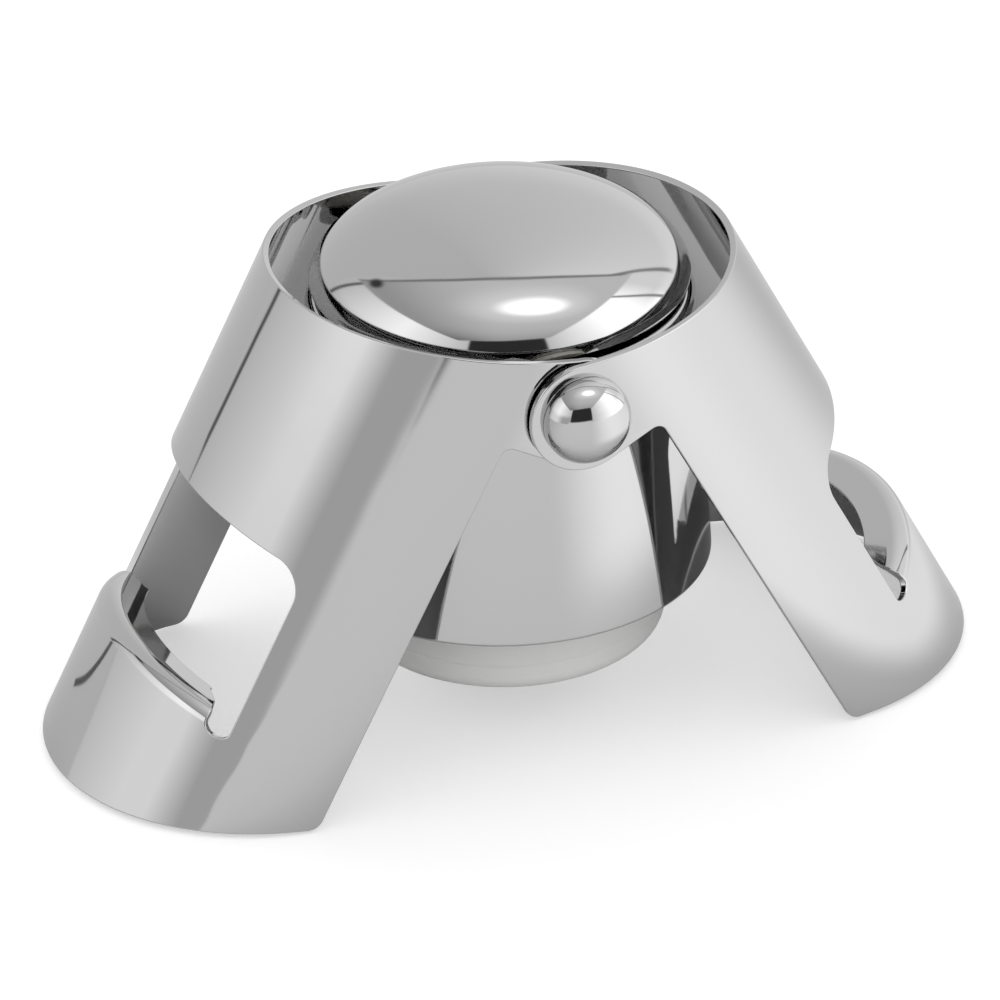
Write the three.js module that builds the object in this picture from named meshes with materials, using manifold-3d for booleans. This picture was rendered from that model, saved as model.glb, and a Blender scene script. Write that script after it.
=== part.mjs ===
// Champagne stopper: a spring-loaded seal in a bell, held on the bottle by two hinged arms.
// Millimetres, +Z up. X runs from arm to arm, Y runs through both hinge rivets.
// The origin is on the bell's axis, on the surface that the open arms stand on.
import * as THREE from 'three';
import { mergeVertices } from 'three/addons/utils/BufferGeometryUtils.js';
import Module from 'manifold-3d';

const wasm = await Module();
wasm.setup();

// Seal: a silicone ring with a rounded lower edge, which covers the bottle's mouth.
// The plunger, the sleeve, the bell and the arms are each wrapped round it with a named wall or gap.
const sealRadius = 15;
const sealNeckInset = 0.5;
const sealWaistInset = 0.7;
const sealHeight = 10.6;
const sealNeckHeight = 4.2;
const sealLowerRound = 1.8;
const sealRecessRadius = 7;
const sealRecessDepth = 3.2;
const sealClearance = 0.4;

// Guide sleeve pressed into the bell, with a lip that stops the plunger
const sleeveTopBelowHinge = 3.4;
const sleeveBottomAboveMouth = 1.4;
const sleeveLipThickness = 1.5;
const sleeveLipWidth = 1.1;
const sleeveFootWall = 2.2;
const sleeveClearance = 0.1;

// Bell: a drawn shell, slightly wider at its mouth
const bellTaper = 1.4;
const bellHeight = 27.6;
const bellWall = 1.2;
const bellTopThickness = 1;
const bellShoulderRound = 1;
const bellEdgeRound = 0.3;
const bellTopAboveHinge = 3.6;

// Cap: a flattened pebble on a thin gasket
const capInset = 0.35;
const capDomeHeight = 7.3;
const capUnderDepth = 1.1;
const capUnderSemiHeight = 7.3;
const gasketInset = 1.8;
const gasketThickness = 0.6;

// Screw that pulls the cap down on the bell, and its washer
const capScrewRadius = 2;
const capScrewHeadRadius = 3.6;
const capScrewHeadHeight = 2.4;
const capScrewDepthInCap = 2.6;
const screwWasherRadius = 4.6;
const screwWasherThickness = 0.6;
const screwClearance = 0.1;
const slotWidth = 0.8;
const slotDepth = 0.9;

// Arm: a U of sheet with a half-ellipse end, in its own frame.
// There x points outward, z points up along the arm, and the hinge axis is y.
const sheet = 0.7;
const cheekClearance = 0.25;
const armEndClearance = 2.6;
const armCheekFlat = 4;
const armInnerEdge = 5.5;
const armLengthToCorner = 45.7;
const armOpenAngle = THREE.MathUtils.degToRad(28.2);
const armCornerRound = 1.6;
const lugRadius = 5.2;
const lugFillet = 1;
const rimHeightAtHinge = 5.52;
const rimSlopeShare = -0.385;
const lugGap = 0.4;

// Window in the arm's curved end, with a relief notch at each end of the lip
const windowTopBelowHinge = 23.8;
const windowHalfWidth = 16.4;
const windowCornerAcross = 2.2;
const windowCornerAlong = 3;
const notchWidth = 1.9;
const notchDepth = 2.3;

// Lip: the band's upper edge, turned in to hook under the bottle's collar
const lipBelowHinge = 39.3;
const lipDepth = 4.2;
const lipEndSetback = 4.4;
const lipBendRadius = 1.8;

// Hinge rivets, their spacers on the bell and the washers of the stack
const rivetRadius = 1.5;
const rivetClearance = 0.08;
const rivetHeadRadius = 4.1;
const rivetHeadHeight = 3.3;
const rivetHeadGap = 0.05;
const rivetTailRadius = 2.3;
const rivetTailThickness = 0.8;
const tailWasherRadius = 2.5;
const tailWasherThickness = 0.4;
const spacerRadius = 3.4;
const spacerGap = 0.05;
const seatClearance = 0.1;
const lugWasherRadius = 4.2;
const lugWasherThickness = 0.3;

// Plunger that carries the seal, and the spring above it
const plungerClearance = 0.2;
const plungerSeatGap = 0.05;
const plungerFlangeThickness = 2.2;
const plungerCollarRadius = 5.2;
const plungerCollarHeight = 3;
const plungerBossRadius = 5;
const plungerBossDepth = 6.2;
const springWire = 1.1;
const springRadius = 6.6;
const springTurns = 6;
const springSeatGap = 0.05;

// Screw and washer that hold the seal on the plunger
const sealScrewRadius = 1.5;
const sealScrewLength = 7;
const sealScrewHeadRadius = 2.8;
const sealScrewHeadHeight = 1.3;
const sealWasherRadius = 6;
const sealWasherThickness = 0.8;

// Overrun of every cut past the faces that it opens
const overrun = 1;

// Counts of facets
const roundSegments = 48;
const smallSegments = 24;
const arcSegments = 4;
const armSegments = 26;
const springSides = 5;
const springStepsPerTurn = 12;

// Radii, from the seal outward
const sealNeckRadius = sealRadius - sealNeckInset;
const sealWaistRadius = sealRadius - sealWaistInset;
const sleeveLipBore = sealNeckRadius + sealClearance;
const sleeveBore = sleeveLipBore + sleeveLipWidth;
const bellMouthRadius = sleeveBore + sleeveFootWall + sleeveClearance + bellWall;
const bellShoulderRadius = bellMouthRadius - bellTaper;
const capRadius = bellShoulderRadius - capInset;
const gasketRadius = capRadius - gasketInset;
const armReach = bellMouthRadius + armEndClearance + sheet;

// Heights above the hinge axis, each from the piece that it rests on
const bellTop = bellTopAboveHinge;
const bellMouth = bellTop - bellHeight;
const bellCeiling = bellTop - bellTopThickness;
const capUnderside = bellTop + gasketThickness;
const capEquator = capUnderside + capUnderDepth;
const capTop = capEquator + capDomeHeight;
const screwHeadTop = bellCeiling - screwWasherThickness;
const sleeveTop = -sleeveTopBelowHinge;
const sleeveBottom = bellMouth + sleeveBottomAboveMouth;
const sleeveLipTop = sleeveBottom + sleeveLipThickness;
const plungerFlangeTop = sleeveLipTop + plungerSeatGap + plungerFlangeThickness;
const sealTop = sleeveLipTop + plungerSeatGap;
const sealBottom = sealTop - sealHeight;
const sealRecessTop = sealBottom + sealRecessDepth;

// The arm's curved end, and its place across the hinge.
// The lugs of the two arms lie one over the other, so each arm sits half a lug stack to one side.
const lugShift = (sheet + lugGap) / 2;
const armHalfWidth = bellMouthRadius + cheekClearance + sheet + lugShift;
const armEndDepth = armReach - armCheekFlat;
const innerLugInside = armHalfWidth - sheet - lugShift;
const innerLugOutside = innerLugInside + sheet;
const outerLugOutside = innerLugOutside + lugGap + sheet;
const bottomSlope = Math.tan(armOpenAngle);
const lipHalfWidth = windowHalfWidth - notchWidth;

// The arms' lower edges lie flat on the surface when the arms stand open.
const hingeHeight = armLengthToCorner * Math.cos(armOpenAngle) - armInnerEdge * Math.sin(armOpenAngle);

const plate = (roughness) => ({ color: 0xd6d7d9, roughness, metalness: 1 });
const finishes = {
  chrome: plate(0.05),
  steel: { color: 0xb4b6b9, roughness: 0.32, metalness: 1 },
  silicone: { color: 0xbdbdbd, roughness: 0.55, metalness: 0 },
  plastic: { color: 0xd9d9d6, roughness: 0.5, metalness: 0 },
  gasket: { color: 0x161616, roughness: 0.7, metalness: 0 },
  nylon: { color: 0xe4e2dc, roughness: 0.45, metalness: 0 },
};

// Booleans on closed geometries

function toSolid(geometry) {
  const bare = geometry.clone();
  bare.deleteAttribute('normal');
  bare.deleteAttribute('uv');
  const merged = mergeVertices(bare);
  return new wasm.Manifold(new wasm.Mesh({
    numProp: 3,
    vertProperties: new Float32Array(merged.attributes.position.array),
    triVerts: new Uint32Array(merged.index.array),
  }));
}

function toGeometry(solid) {
  const mesh = solid.getMesh();
  const geometry = new THREE.BufferGeometry();
  geometry.setAttribute('position', new THREE.BufferAttribute(new Float32Array(mesh.vertProperties), 3));
  geometry.setIndex(new THREE.BufferAttribute(new Uint32Array(mesh.triVerts), 1));
  return geometry;
}

function cut(geometry, ...cutters) {
  return toGeometry(cutters.reduce((left, cutter) => left.subtract(toSolid(cutter)), toSolid(geometry)));
}

// Basic forms

// Turns a profile of [radius, height] round the Z axis.
function turned(profile, segments = roundSegments) {
  const points = profile.map(([radius, height]) => new THREE.Vector2(radius, height));
  return new THREE.LatheGeometry(points, segments).rotateX(Math.PI / 2);
}

// A ring is a profile that closes on itself, so it has a bore along the axis.
function ring(inner, outer, bottom, top, segments = smallSegments) {
  return turned([[inner, bottom], [outer, bottom], [outer, top], [inner, top], [inner, bottom]], segments);
}

function disc(radius, bottom, top, segments = smallSegments) {
  return turned([[0, bottom], [radius, bottom], [radius, top], [0, top]], segments);
}

// Points on a quarter or other arc of an ellipse, ends included
function arc(centreX, centreY, radiusX, radiusY, from, to, segments = arcSegments) {
  return Array.from({ length: segments + 1 }, (_, step) => {
    const angle = from + (to - from) * step / segments;
    return [centreX + radiusX * Math.cos(angle), centreY + radiusY * Math.sin(angle)];
  });
}

// Lays a form made on the Z axis along the Y axis, its top toward the front (-1) or the back (1).
function alongHinge(geometry, side) {
  return geometry.rotateX(-side * Math.PI / 2);
}

function extruded(points, length) {
  const shape = new THREE.Shape(points.map(([x, y]) => new THREE.Vector2(x, y)));
  return new THREE.ExtrudeGeometry(shape, { depth: length, bevelEnabled: false });
}

// Bell, cap and what holds them together

function bellRadiusAt(height) {
  const share = (bellTop - height) / bellHeight;
  return bellShoulderRadius + (bellMouthRadius - bellShoulderRadius) * share;
}

// Outline of the bell's outside, moved inward by a gap, from the mouth to the centre of the top
function bellOutside(inset = 0) {
  const shoulderStart = bellTop - bellShoulderRound;
  const shoulder = arc(bellRadiusAt(shoulderStart) - bellShoulderRound, shoulderStart,
    bellShoulderRound - inset, bellShoulderRound - inset, 0, Math.PI / 2);
  return [[bellMouthRadius - inset, bellMouth], ...shoulder];
}

function makeBell() {
  const screwHole = capScrewRadius + screwClearance;
  const mouthRound = arc(bellMouthRadius - bellEdgeRound, bellMouth + bellEdgeRound,
    bellEdgeRound, bellEdgeRound, -Math.PI / 2, 0, arcSegments / 2);
  const shell = turned([
    [screwHole, bellCeiling],
    [bellRadiusAt(bellCeiling) - bellWall, bellCeiling],
    [bellMouthRadius - bellWall, bellMouth],
    ...mouthRound,
    ...bellOutside().slice(1),
    [screwHole, bellTop],
    [screwHole, bellCeiling],
  ]);
  const hole = disc(rivetRadius + rivetClearance, -armHalfWidth, armHalfWidth);
  return cut(shell, alongHinge(hole, 1));
}

function makeCap() {
  const underAngle = Math.asin(capUnderDepth / capUnderSemiHeight);
  const under = arc(0, capEquator, capRadius, capUnderSemiHeight, -underAngle, 0);
  const dome = arc(0, capEquator, capRadius, capDomeHeight, 0, Math.PI / 2, arcSegments * 3);
  const pebble = turned([[0, capUnderside], ...under, ...dome.slice(1, -1), [0, capTop]]);
  const thread = disc(capScrewRadius + screwClearance, capUnderside - overrun,
    capUnderside + capScrewDepthInCap + screwClearance);
  return cut(pebble, thread);
}

function makeGasket() {
  return ring(capScrewRadius + screwClearance, gasketRadius, bellTop, capUnderside, roundSegments);
}

function makeCapScrew() {
  const headBottom = screwHeadTop - capScrewHeadHeight;
  const screw = turned([
    [0, headBottom],
    [capScrewHeadRadius, headBottom],
    [capScrewHeadRadius, screwHeadTop],
    [capScrewRadius, screwHeadTop],
    [capScrewRadius, capUnderside + capScrewDepthInCap],
    [0, capUnderside + capScrewDepthInCap],
  ], smallSegments);
  return cut(screw, slotCutter(capScrewHeadRadius, headBottom));
}

// A screwdriver slot across the face of a head that looks down
function slotCutter(headRadius, faceHeight) {
  const slot = new THREE.BoxGeometry(2 * (headRadius + overrun), slotWidth, 2 * slotDepth);
  return slot.translate(0, 0, faceHeight);
}

function makeScrewWasher() {
  return ring(capScrewRadius + screwClearance, screwWasherRadius, screwHeadTop, bellCeiling);
}

// Arms

// Half-ellipse end of the arm seen along its length, at a depth under the outer face
function armSection(depth, back = lugRadius + overrun) {
  const quarter = Math.PI / 2;
  const end = arc(armCheekFlat, 0, armEndDepth - depth, armHalfWidth - depth, -quarter, quarter, armSegments);
  return [[-back, -armHalfWidth + depth], ...end, [-back, armHalfWidth - depth]];
}

function armPrism(depth, margin) {
  const top = rimHeightAtHinge + lugRadius + margin;
  const bottom = -armLengthToCorner - armReach - margin;
  return extruded(armSection(depth, lugRadius + overrun + margin), top - bottom).translate(0, 0, bottom);
}

// Side view of the arm: lug, inner edge, sloping foot and sloping rim
function armSideOutline() {
  const past = armReach + overrun;
  const foot = (x) => -armLengthToCorner - bottomSlope * (x - armInnerEdge);
  const rim = (x) => rimHeightAtHinge + rimSlopeShare * x;
  const slant = Math.hypot(1, bottomSlope);
  const cornerCentre = [armInnerEdge + armCornerRound,
    armCornerRound * (slant - bottomSlope) - armLengthToCorner];
  const footNormal = Math.PI + Math.atan2(1, bottomSlope);
  const corner = arc(...cornerCentre, armCornerRound, armCornerRound, Math.PI, footNormal);
  const notchCentre = [armInnerEdge - lugFillet, -lugRadius - lugFillet];
  const notch = arc(...notchCentre, lugFillet, lugFillet, Math.PI / 2, 0);
  // The rim's line runs into the lug's circle at the outer of their two crossings.
  const a = 1 + rimSlopeShare ** 2;
  const b = rimHeightAtHinge * rimSlopeShare;
  const c = rimHeightAtHinge ** 2 - lugRadius ** 2;
  const meetX = (-b + Math.sqrt(b * b - a * c)) / a;
  const lugStart = Math.atan2(rim(meetX), meetX);
  const lug = arc(0, 0, lugRadius, lugRadius, lugStart, Math.PI * 3 / 2, arcSegments * 4);
  return [...notch, ...corner, [past, foot(past)], [past, rim(past)], ...lug];
}

function armSideBlock() {
  const width = 2 * (armHalfWidth + overrun);
  return extruded(armSideOutline(), width).rotateX(Math.PI / 2).translate(0, width / 2, 0);
}

// Window outline seen from outside: rounded upper corners, a straight lip edge and two notches
function windowOutline() {
  const lip = -lipBelowHinge;
  const top = -windowTopBelowHinge;
  const notchRadius = notchWidth / 2;
  const notchFloor = lip - notchDepth + notchRadius;
  const notchMiddle = lipHalfWidth + notchRadius;
  const rightNotch = arc(notchMiddle, notchFloor, notchRadius, notchRadius, Math.PI, 2 * Math.PI);
  const rightCorner = arc(windowHalfWidth - windowCornerAcross, top - windowCornerAlong,
    windowCornerAcross, windowCornerAlong, 0, Math.PI / 2);
  const right = [[lipHalfWidth, lip], ...rightNotch, ...rightCorner];
  const left = right.map(([y, z]) => [-y, z]).reverse();
  return [...right, ...left];
}

function windowCutter() {
  const start = armCheekFlat;
  const cutter = extruded(windowOutline(), armReach + overrun - start);
  const basis = new THREE.Matrix4().makeBasis(
    new THREE.Vector3(0, 1, 0), new THREE.Vector3(0, 0, 1), new THREE.Vector3(1, 0, 0));
  return cutter.applyMatrix4(basis).translate(start, 0, 0);
}

// A section of [depth under the outer face, height] swept round the arm's end, between two side limits
function sweptRoundEnd(section, halfWidth, steps = armSegments) {
  const reach = Math.asin(halfWidth / armHalfWidth);
  const count = section.length;
  const positions = [];
  for (let step = 0; step <= steps; step += 1) {
    const angle = -reach + 2 * reach * step / steps;
    for (const [depth, height] of section) {
      positions.push(armCheekFlat + (armEndDepth - depth) * Math.cos(angle));
      positions.push((armHalfWidth - depth) * Math.sin(angle));
      positions.push(height);
    }
  }
  const faces = [];
  for (let step = 0; step < steps; step += 1) {
    for (let point = 0; point < count; point += 1) {
      const here = step * count + point;
      const next = step * count + (point + 1) % count;
      faces.push(here, next, next + count, here, next + count, here + count);
    }
  }
  const caps = THREE.ShapeUtils.triangulateShape(section.map(([x, y]) => new THREE.Vector2(x, y)), []);
  for (const [first, second, third] of caps) {
    const end = steps * count;
    faces.push(first, third, second, end + first, end + second, end + third);
  }
  const geometry = new THREE.BufferGeometry();
  geometry.setAttribute('position', new THREE.BufferAttribute(new Float32Array(positions), 3));
  geometry.setIndex(faces);
  return geometry;
}

// Turned-in lip: a flat plate inside the band with slanting ends, and the fillet under its bend
function lipPlate() {
  const tip = lipHalfWidth - lipEndSetback;
  const outerAngle = Math.asin(lipHalfWidth / armHalfWidth);
  const outer = arc(armCheekFlat, 0, armEndDepth, armHalfWidth, -outerAngle, outerAngle, armSegments);
  const innerAngle = Math.asin(tip / (armHalfWidth - lipDepth));
  const inner = arc(armCheekFlat, 0, armEndDepth - lipDepth, armHalfWidth - lipDepth,
    innerAngle, -innerAngle, armSegments);
  return extruded([...outer, ...inner], sheet).translate(0, 0, -lipBelowHinge - sheet);
}

function lipFillet() {
  const radius = lipBendRadius - sheet;
  const under = -lipBelowHinge - sheet;
  const half = sheet / 2;
  const bend = arc(sheet + radius, under - radius, radius, radius, Math.PI / 2, Math.PI);
  return sweptRoundEnd([[sheet - half, under + half], [sheet - half, under - radius], ...bend.reverse(),
    [sheet + radius, under + half]], lipHalfWidth - lipBendRadius);
}

function lipRoundingCutter() {
  const bendStart = -lipBelowHinge - lipBendRadius;
  const bend = arc(lipBendRadius, bendStart, lipBendRadius, lipBendRadius, Math.PI, Math.PI / 2);
  return sweptRoundEnd([[-overrun, bendStart], ...bend,
    [lipBendRadius, -lipBelowHinge + overrun], [-overrun, -lipBelowHinge + overrun]],
  lipHalfWidth + notchWidth / 2);
}

function makeArm() {
  const hollow = toSolid(armPrism(sheet, overrun))
    .subtract(toSolid(lipPlate()))
    .subtract(toSolid(lipFillet()));
  const past = armHalfWidth + overrun;
  const rivetHole = alongHinge(disc(rivetRadius + rivetClearance, -past, past), 1);
  const arm = toSolid(armPrism(0, 0))
    .intersect(toSolid(armSideBlock()))
    .subtract(hollow)
    .subtract(toSolid(windowCutter()))
    .subtract(toSolid(lipRoundingCutter()))
    .subtract(toSolid(rivetHole));
  return toGeometry(arm).translate(0, -lugShift, 0);
}

// Hinge pieces, made along the hinge axis on one side of the bell

// Distance from the bell's axis at which the tail washer's highest point meets the tapered wall
const tailWall = bellRadiusAt(tailWasherRadius) - bellWall;
const tailSeat = Math.sqrt(tailWall ** 2 - tailWasherRadius ** 2) - seatClearance;

function makeRivet(side) {
  const headBase = outerLugOutside + rivetHeadGap;
  const tailTop = tailSeat - tailWasherThickness;
  const head = arc(0, headBase, rivetHeadRadius, rivetHeadHeight, 0, Math.PI / 2, arcSegments);
  const rivet = turned([
    [0, tailTop - rivetTailThickness],
    [rivetTailRadius, tailTop - rivetTailThickness],
    [rivetTailRadius, tailTop],
    [rivetRadius, tailTop],
    [rivetRadius, headBase],
    ...head.slice(0, -1),
    [0, headBase + rivetHeadHeight],
  ], smallSegments);
  return alongHinge(rivet, side);
}

function makeTailWasher(side) {
  const bottom = tailSeat - tailWasherThickness;
  return alongHinge(ring(rivetRadius + rivetClearance, tailWasherRadius, bottom, tailSeat), side);
}

function makeSpacer(side) {
  const top = innerLugInside - spacerGap;
  const bottom = Math.sqrt(bellShoulderRadius ** 2 - spacerRadius ** 2) - seatClearance;
  const blank = alongHinge(ring(rivetRadius + rivetClearance, spacerRadius, bottom, top), side);
  const bell = turned([[0, bellMouth], ...bellOutside(-seatClearance), [0, bellTop + seatClearance]]);
  return cut(blank, bell);
}

function makeLugWasher(side) {
  const bottom = innerLugOutside + (lugGap - lugWasherThickness) / 2;
  const top = bottom + lugWasherThickness;
  return alongHinge(ring(rivetRadius + rivetClearance, lugWasherRadius, bottom, top), side);
}

// Seal and what carries it

function makeSleeve() {
  const outside = (height) => bellRadiusAt(height) - bellWall - sleeveClearance;
  return turned([
    [sleeveLipBore, sleeveBottom],
    [outside(sleeveBottom), sleeveBottom],
    [outside(sleeveTop), sleeveTop],
    [sleeveBore, sleeveTop],
    [sleeveBore, sleeveLipTop],
    [sleeveLipBore, sleeveLipTop],
    [sleeveLipBore, sleeveBottom],
  ]);
}

function makePlunger() {
  const flangeRadius = sleeveBore - plungerClearance;
  const collarTop = plungerFlangeTop + plungerCollarHeight;
  const bossBottom = sealTop - plungerBossDepth;
  const body = turned([
    [0, bossBottom],
    [plungerBossRadius, bossBottom],
    [plungerBossRadius, sealTop],
    [flangeRadius, sealTop],
    [flangeRadius, plungerFlangeTop],
    [plungerCollarRadius, plungerFlangeTop],
    [plungerCollarRadius, collarTop],
    [0, collarTop],
  ]);
  const thread = disc(sealScrewRadius + screwClearance, bossBottom - overrun,
    sealRecessTop - sealWasherThickness + sealScrewLength + screwClearance);
  return cut(body, thread);
}

class SpringCurve extends THREE.Curve {
  getPoint(share, target = new THREE.Vector3()) {
    const angle = 2 * Math.PI * springTurns * share;
    const low = plungerFlangeTop + springSeatGap + springWire / 2;
    const high = bellCeiling - springSeatGap - springWire / 2;
    const height = low + (high - low) * share;
    return target.set(springRadius * Math.cos(angle), springRadius * Math.sin(angle), height);
  }
}

function makeSpring() {
  const wire = springWire / 2;
  const section = new THREE.Shape(arc(0, 0, wire, wire, 0, 2 * Math.PI, springSides).slice(0, -1)
    .map(([x, y]) => new THREE.Vector2(x, y)));
  return new THREE.ExtrudeGeometry(section, {
    steps: springTurns * springStepsPerTurn,
    extrudePath: new SpringCurve(),
  });
}

function makeSeal() {
  const bossBore = plungerBossRadius + plungerClearance;
  const shoulder = sealTop - sealNeckHeight;
  const lowerCentre = [sealRadius - sealLowerRound, sealBottom + sealLowerRound];
  const lower = arc(...lowerCentre, sealLowerRound, sealLowerRound, -Math.PI / 2, 0);
  const upperCentre = [sealWaistRadius, shoulder - sealLowerRound];
  const upper = arc(...upperCentre, sealRadius - sealWaistRadius, sealLowerRound, 0, Math.PI / 2);
  return turned([
    [bossBore, sealTop],
    [bossBore, sealRecessTop],
    [sealRecessRadius, sealRecessTop],
    [sealRecessRadius, sealBottom],
    ...lower,
    ...upper,
    [sealNeckRadius, sealTop],
    [bossBore, sealTop],
  ]);
}

function makeSealWasher() {
  const top = sealRecessTop;
  return ring(sealScrewRadius + screwClearance, sealWasherRadius, top - sealWasherThickness, top);
}

function makeSealScrew() {
  const headTop = sealRecessTop - sealWasherThickness;
  const face = headTop - sealScrewHeadHeight;
  const screw = turned([
    [0, face],
    [sealScrewHeadRadius, face],
    [sealScrewHeadRadius, headTop],
    [sealScrewRadius, headTop],
    [sealScrewRadius, headTop + sealScrewLength],
    [0, headTop + sealScrewLength],
  ], smallSegments);
  return cut(screw, slotCutter(sealScrewHeadRadius, face));
}

// Assembly

function piece(name, geometry, finish) {
  const mesh = new THREE.Mesh(geometry, new THREE.MeshStandardMaterial(finish));
  mesh.name = name;
  return mesh;
}

// An arm is one stamping; the left one is the right one turned half round the bell's axis.
function placedArm(name, turn) {
  const swing = new THREE.Group();
  swing.rotation.y = -armOpenAngle;
  swing.add(piece(name, makeArm(), finishes.chrome));
  const side = new THREE.Group();
  side.rotation.z = turn;
  side.add(swing);
  return side;
}

function hingeStack(name, side) {
  return [
    piece(`${name}_rivet`, makeRivet(side), finishes.chrome),
    piece(`${name}_tail_washer`, makeTailWasher(side), finishes.steel),
    piece(`${name}_spacer`, makeSpacer(side), finishes.nylon),
    piece(`${name}_lug_washer`, makeLugWasher(side), finishes.nylon),
  ];
}

const stopper = new THREE.Group();
stopper.position.z = hingeHeight;
stopper.add(
  piece('bell', makeBell(), finishes.chrome),
  piece('cap', makeCap(), finishes.chrome),
  piece('cap_gasket', makeGasket(), finishes.gasket),
  piece('cap_screw', makeCapScrew(), finishes.steel),
  piece('screw_washer', makeScrewWasher(), finishes.steel),
  piece('guide_sleeve', makeSleeve(), finishes.plastic),
  piece('plunger', makePlunger(), finishes.plastic),
  piece('spring', makeSpring(), finishes.steel),
  piece('seal', makeSeal(), finishes.silicone),
  piece('seal_washer', makeSealWasher(), finishes.steel),
  piece('seal_screw', makeSealScrew(), finishes.steel),
  placedArm('right_arm', 0),
  placedArm('left_arm', Math.PI),
  ...hingeStack('front', -1),
  ...hingeStack('back', 1),
);

const part = new THREE.Group();
part.add(stopper);

export default part;
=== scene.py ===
# %% [markdown]
# A champagne stopper in bright chrome
#
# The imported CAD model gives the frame: its sizes, its moving bodies and the places of its pieces.
# This lesson dresses it. The sheet-metal arms, the turned bell and cap, the rivets, the seal and the
# spring are made again as smooth meshes, because a mirror finish shows every facet of a plain solid.

# %% Load the frame
import math

import bpy
import numpy as np
from mathutils import Matrix, Vector
from mathutils.geometry import delaunay_2d_cdt


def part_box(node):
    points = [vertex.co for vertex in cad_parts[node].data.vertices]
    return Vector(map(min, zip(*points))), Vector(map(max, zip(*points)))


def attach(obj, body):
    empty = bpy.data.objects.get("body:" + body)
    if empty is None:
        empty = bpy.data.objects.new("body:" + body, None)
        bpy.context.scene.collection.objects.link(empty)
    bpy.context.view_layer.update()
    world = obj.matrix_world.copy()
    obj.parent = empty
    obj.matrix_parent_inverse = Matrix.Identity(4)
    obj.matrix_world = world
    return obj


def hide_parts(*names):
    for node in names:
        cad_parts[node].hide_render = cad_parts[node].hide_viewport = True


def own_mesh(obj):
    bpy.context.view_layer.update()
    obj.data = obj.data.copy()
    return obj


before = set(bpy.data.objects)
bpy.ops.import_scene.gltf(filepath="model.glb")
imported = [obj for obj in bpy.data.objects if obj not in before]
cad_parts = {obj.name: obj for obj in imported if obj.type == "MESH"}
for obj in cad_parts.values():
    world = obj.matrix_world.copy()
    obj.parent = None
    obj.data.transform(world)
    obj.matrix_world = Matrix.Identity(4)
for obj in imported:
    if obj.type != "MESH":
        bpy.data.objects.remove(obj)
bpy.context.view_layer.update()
scene = bpy.context.scene
MM = 0.001


def add_object(name, data):
    made = bpy.data.objects.new(name, data)
    scene.collection.objects.link(made)
    return made


print("frame loaded with", len(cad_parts), "nodes")

# %% [markdown]
# Sizes
#
# All sizes are the real ones, in millimetres, and repeat the driving sizes of the CAD source.
# The hinge axis is the natural place to measure from: the bell, the cap and both arms hang on it.

# %% Sizes of the stopper
SEAL_RADIUS = 15.0
SEAL_NECK_INSET = 0.5
SEAL_WAIST_INSET = 0.7
SEAL_HEIGHT = 10.6
SEAL_NECK_HEIGHT = 4.2
SEAL_ROUND = 1.8
SEAL_RECESS_RADIUS = 7.0
SEAL_RECESS_DEPTH = 3.2
SEAL_CLEARANCE = 0.4
SLEEVE_TOP = -3.4
SLEEVE_BOTTOM_ABOVE_MOUTH = 1.4
SLEEVE_LIP_THICKNESS = 1.5
SLEEVE_LIP_WIDTH = 1.1
SLEEVE_FOOT_WALL = 2.2
SLEEVE_CLEARANCE = 0.1
BELL_WALL = 1.2
BELL_TAPER = 1.4
BELL_HEIGHT = 27.6
BELL_TOP_PLATE = 1.0
BELL_SHOULDER_ROUND = 1.0
SCREW_HOLE_RADIUS = 2.1
BELL_TOP = 3.6
GASKET_THICKNESS = 0.6
CAP_UNDER_DEPTH = 1.1
CAP_UNDER_SEMI_HEIGHT = 7.3
CAP_DOME_HEIGHT = 7.3
CAP_DOME_POWER = 2.2
CAP_DOME_DROP = 2.0
CAP_INSET = 0.35
GASKET_INSET = 1.8
SHEET = 0.7
CHEEK_CLEARANCE = 0.25
LUG_GAP = 0.4
ARM_END_CLEARANCE = 2.6
CHEEK_FLAT = 4.0
INNER_EDGE = 5.5
CORNER_BELOW_HINGE = 45.7
OPEN_ANGLE = math.radians(28.2)
CORNER_ROUND = 1.6
LUG_RADIUS = 5.2
LUG_FILLET = 1.0
RIM_HEIGHT = 5.52
RIM_SLOPE_SHARE = -0.385
WINDOW_TOP = -23.8
WINDOW_HALF_WIDTH = 16.4
WINDOW_CORNER_ACROSS = 2.2
WINDOW_CORNER_ALONG = 3.0
NOTCH_WIDTH = 1.9
NOTCH_DEPTH = 2.3
LIP_TOP = -39.3
LIP_DEPTH = 4.2
LIP_BEND_RADIUS = 1.8
LIP_TIP_HALF_WIDTH = 10.0
LIP_TIP_ROUND = 0.6
RIVET_HEAD_RADIUS = 4.1
RIVET_HEAD_HEIGHT = 3.3
RIVET_HEAD_GAP = 0.05
RIVET_RADIUS = 1.5

bell_mouth_radius = (SEAL_RADIUS - SEAL_NECK_INSET + SEAL_CLEARANCE + SLEEVE_LIP_WIDTH
                     + SLEEVE_FOOT_WALL + SLEEVE_CLEARANCE + BELL_WALL)
bell_shoulder_radius = bell_mouth_radius - BELL_TAPER
bell_mouth = BELL_TOP - BELL_HEIGHT
cap_radius = bell_shoulder_radius - CAP_INSET
lug_shift = (SHEET + LUG_GAP) / 2
arm_half_width = bell_mouth_radius + CHEEK_CLEARANCE + SHEET + lug_shift
arm_reach = bell_mouth_radius + ARM_END_CLEARANCE + SHEET
hinge_height = CORNER_BELOW_HINGE * math.cos(OPEN_ANGLE) - INNER_EDGE * math.sin(OPEN_ANGLE)
outer_lug_outside = arm_half_width + lug_shift
print(f"bell {2 * bell_mouth_radius:.1f} mm across, hinge {hinge_height:.2f} mm up")

# %% [markdown]
# Camera
#
# The camera stands where the photograph was taken: a long lens about half a metre away, looking
# down by 29 degrees and from 20 degrees left of the front hinge, with a slight roll.

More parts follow.
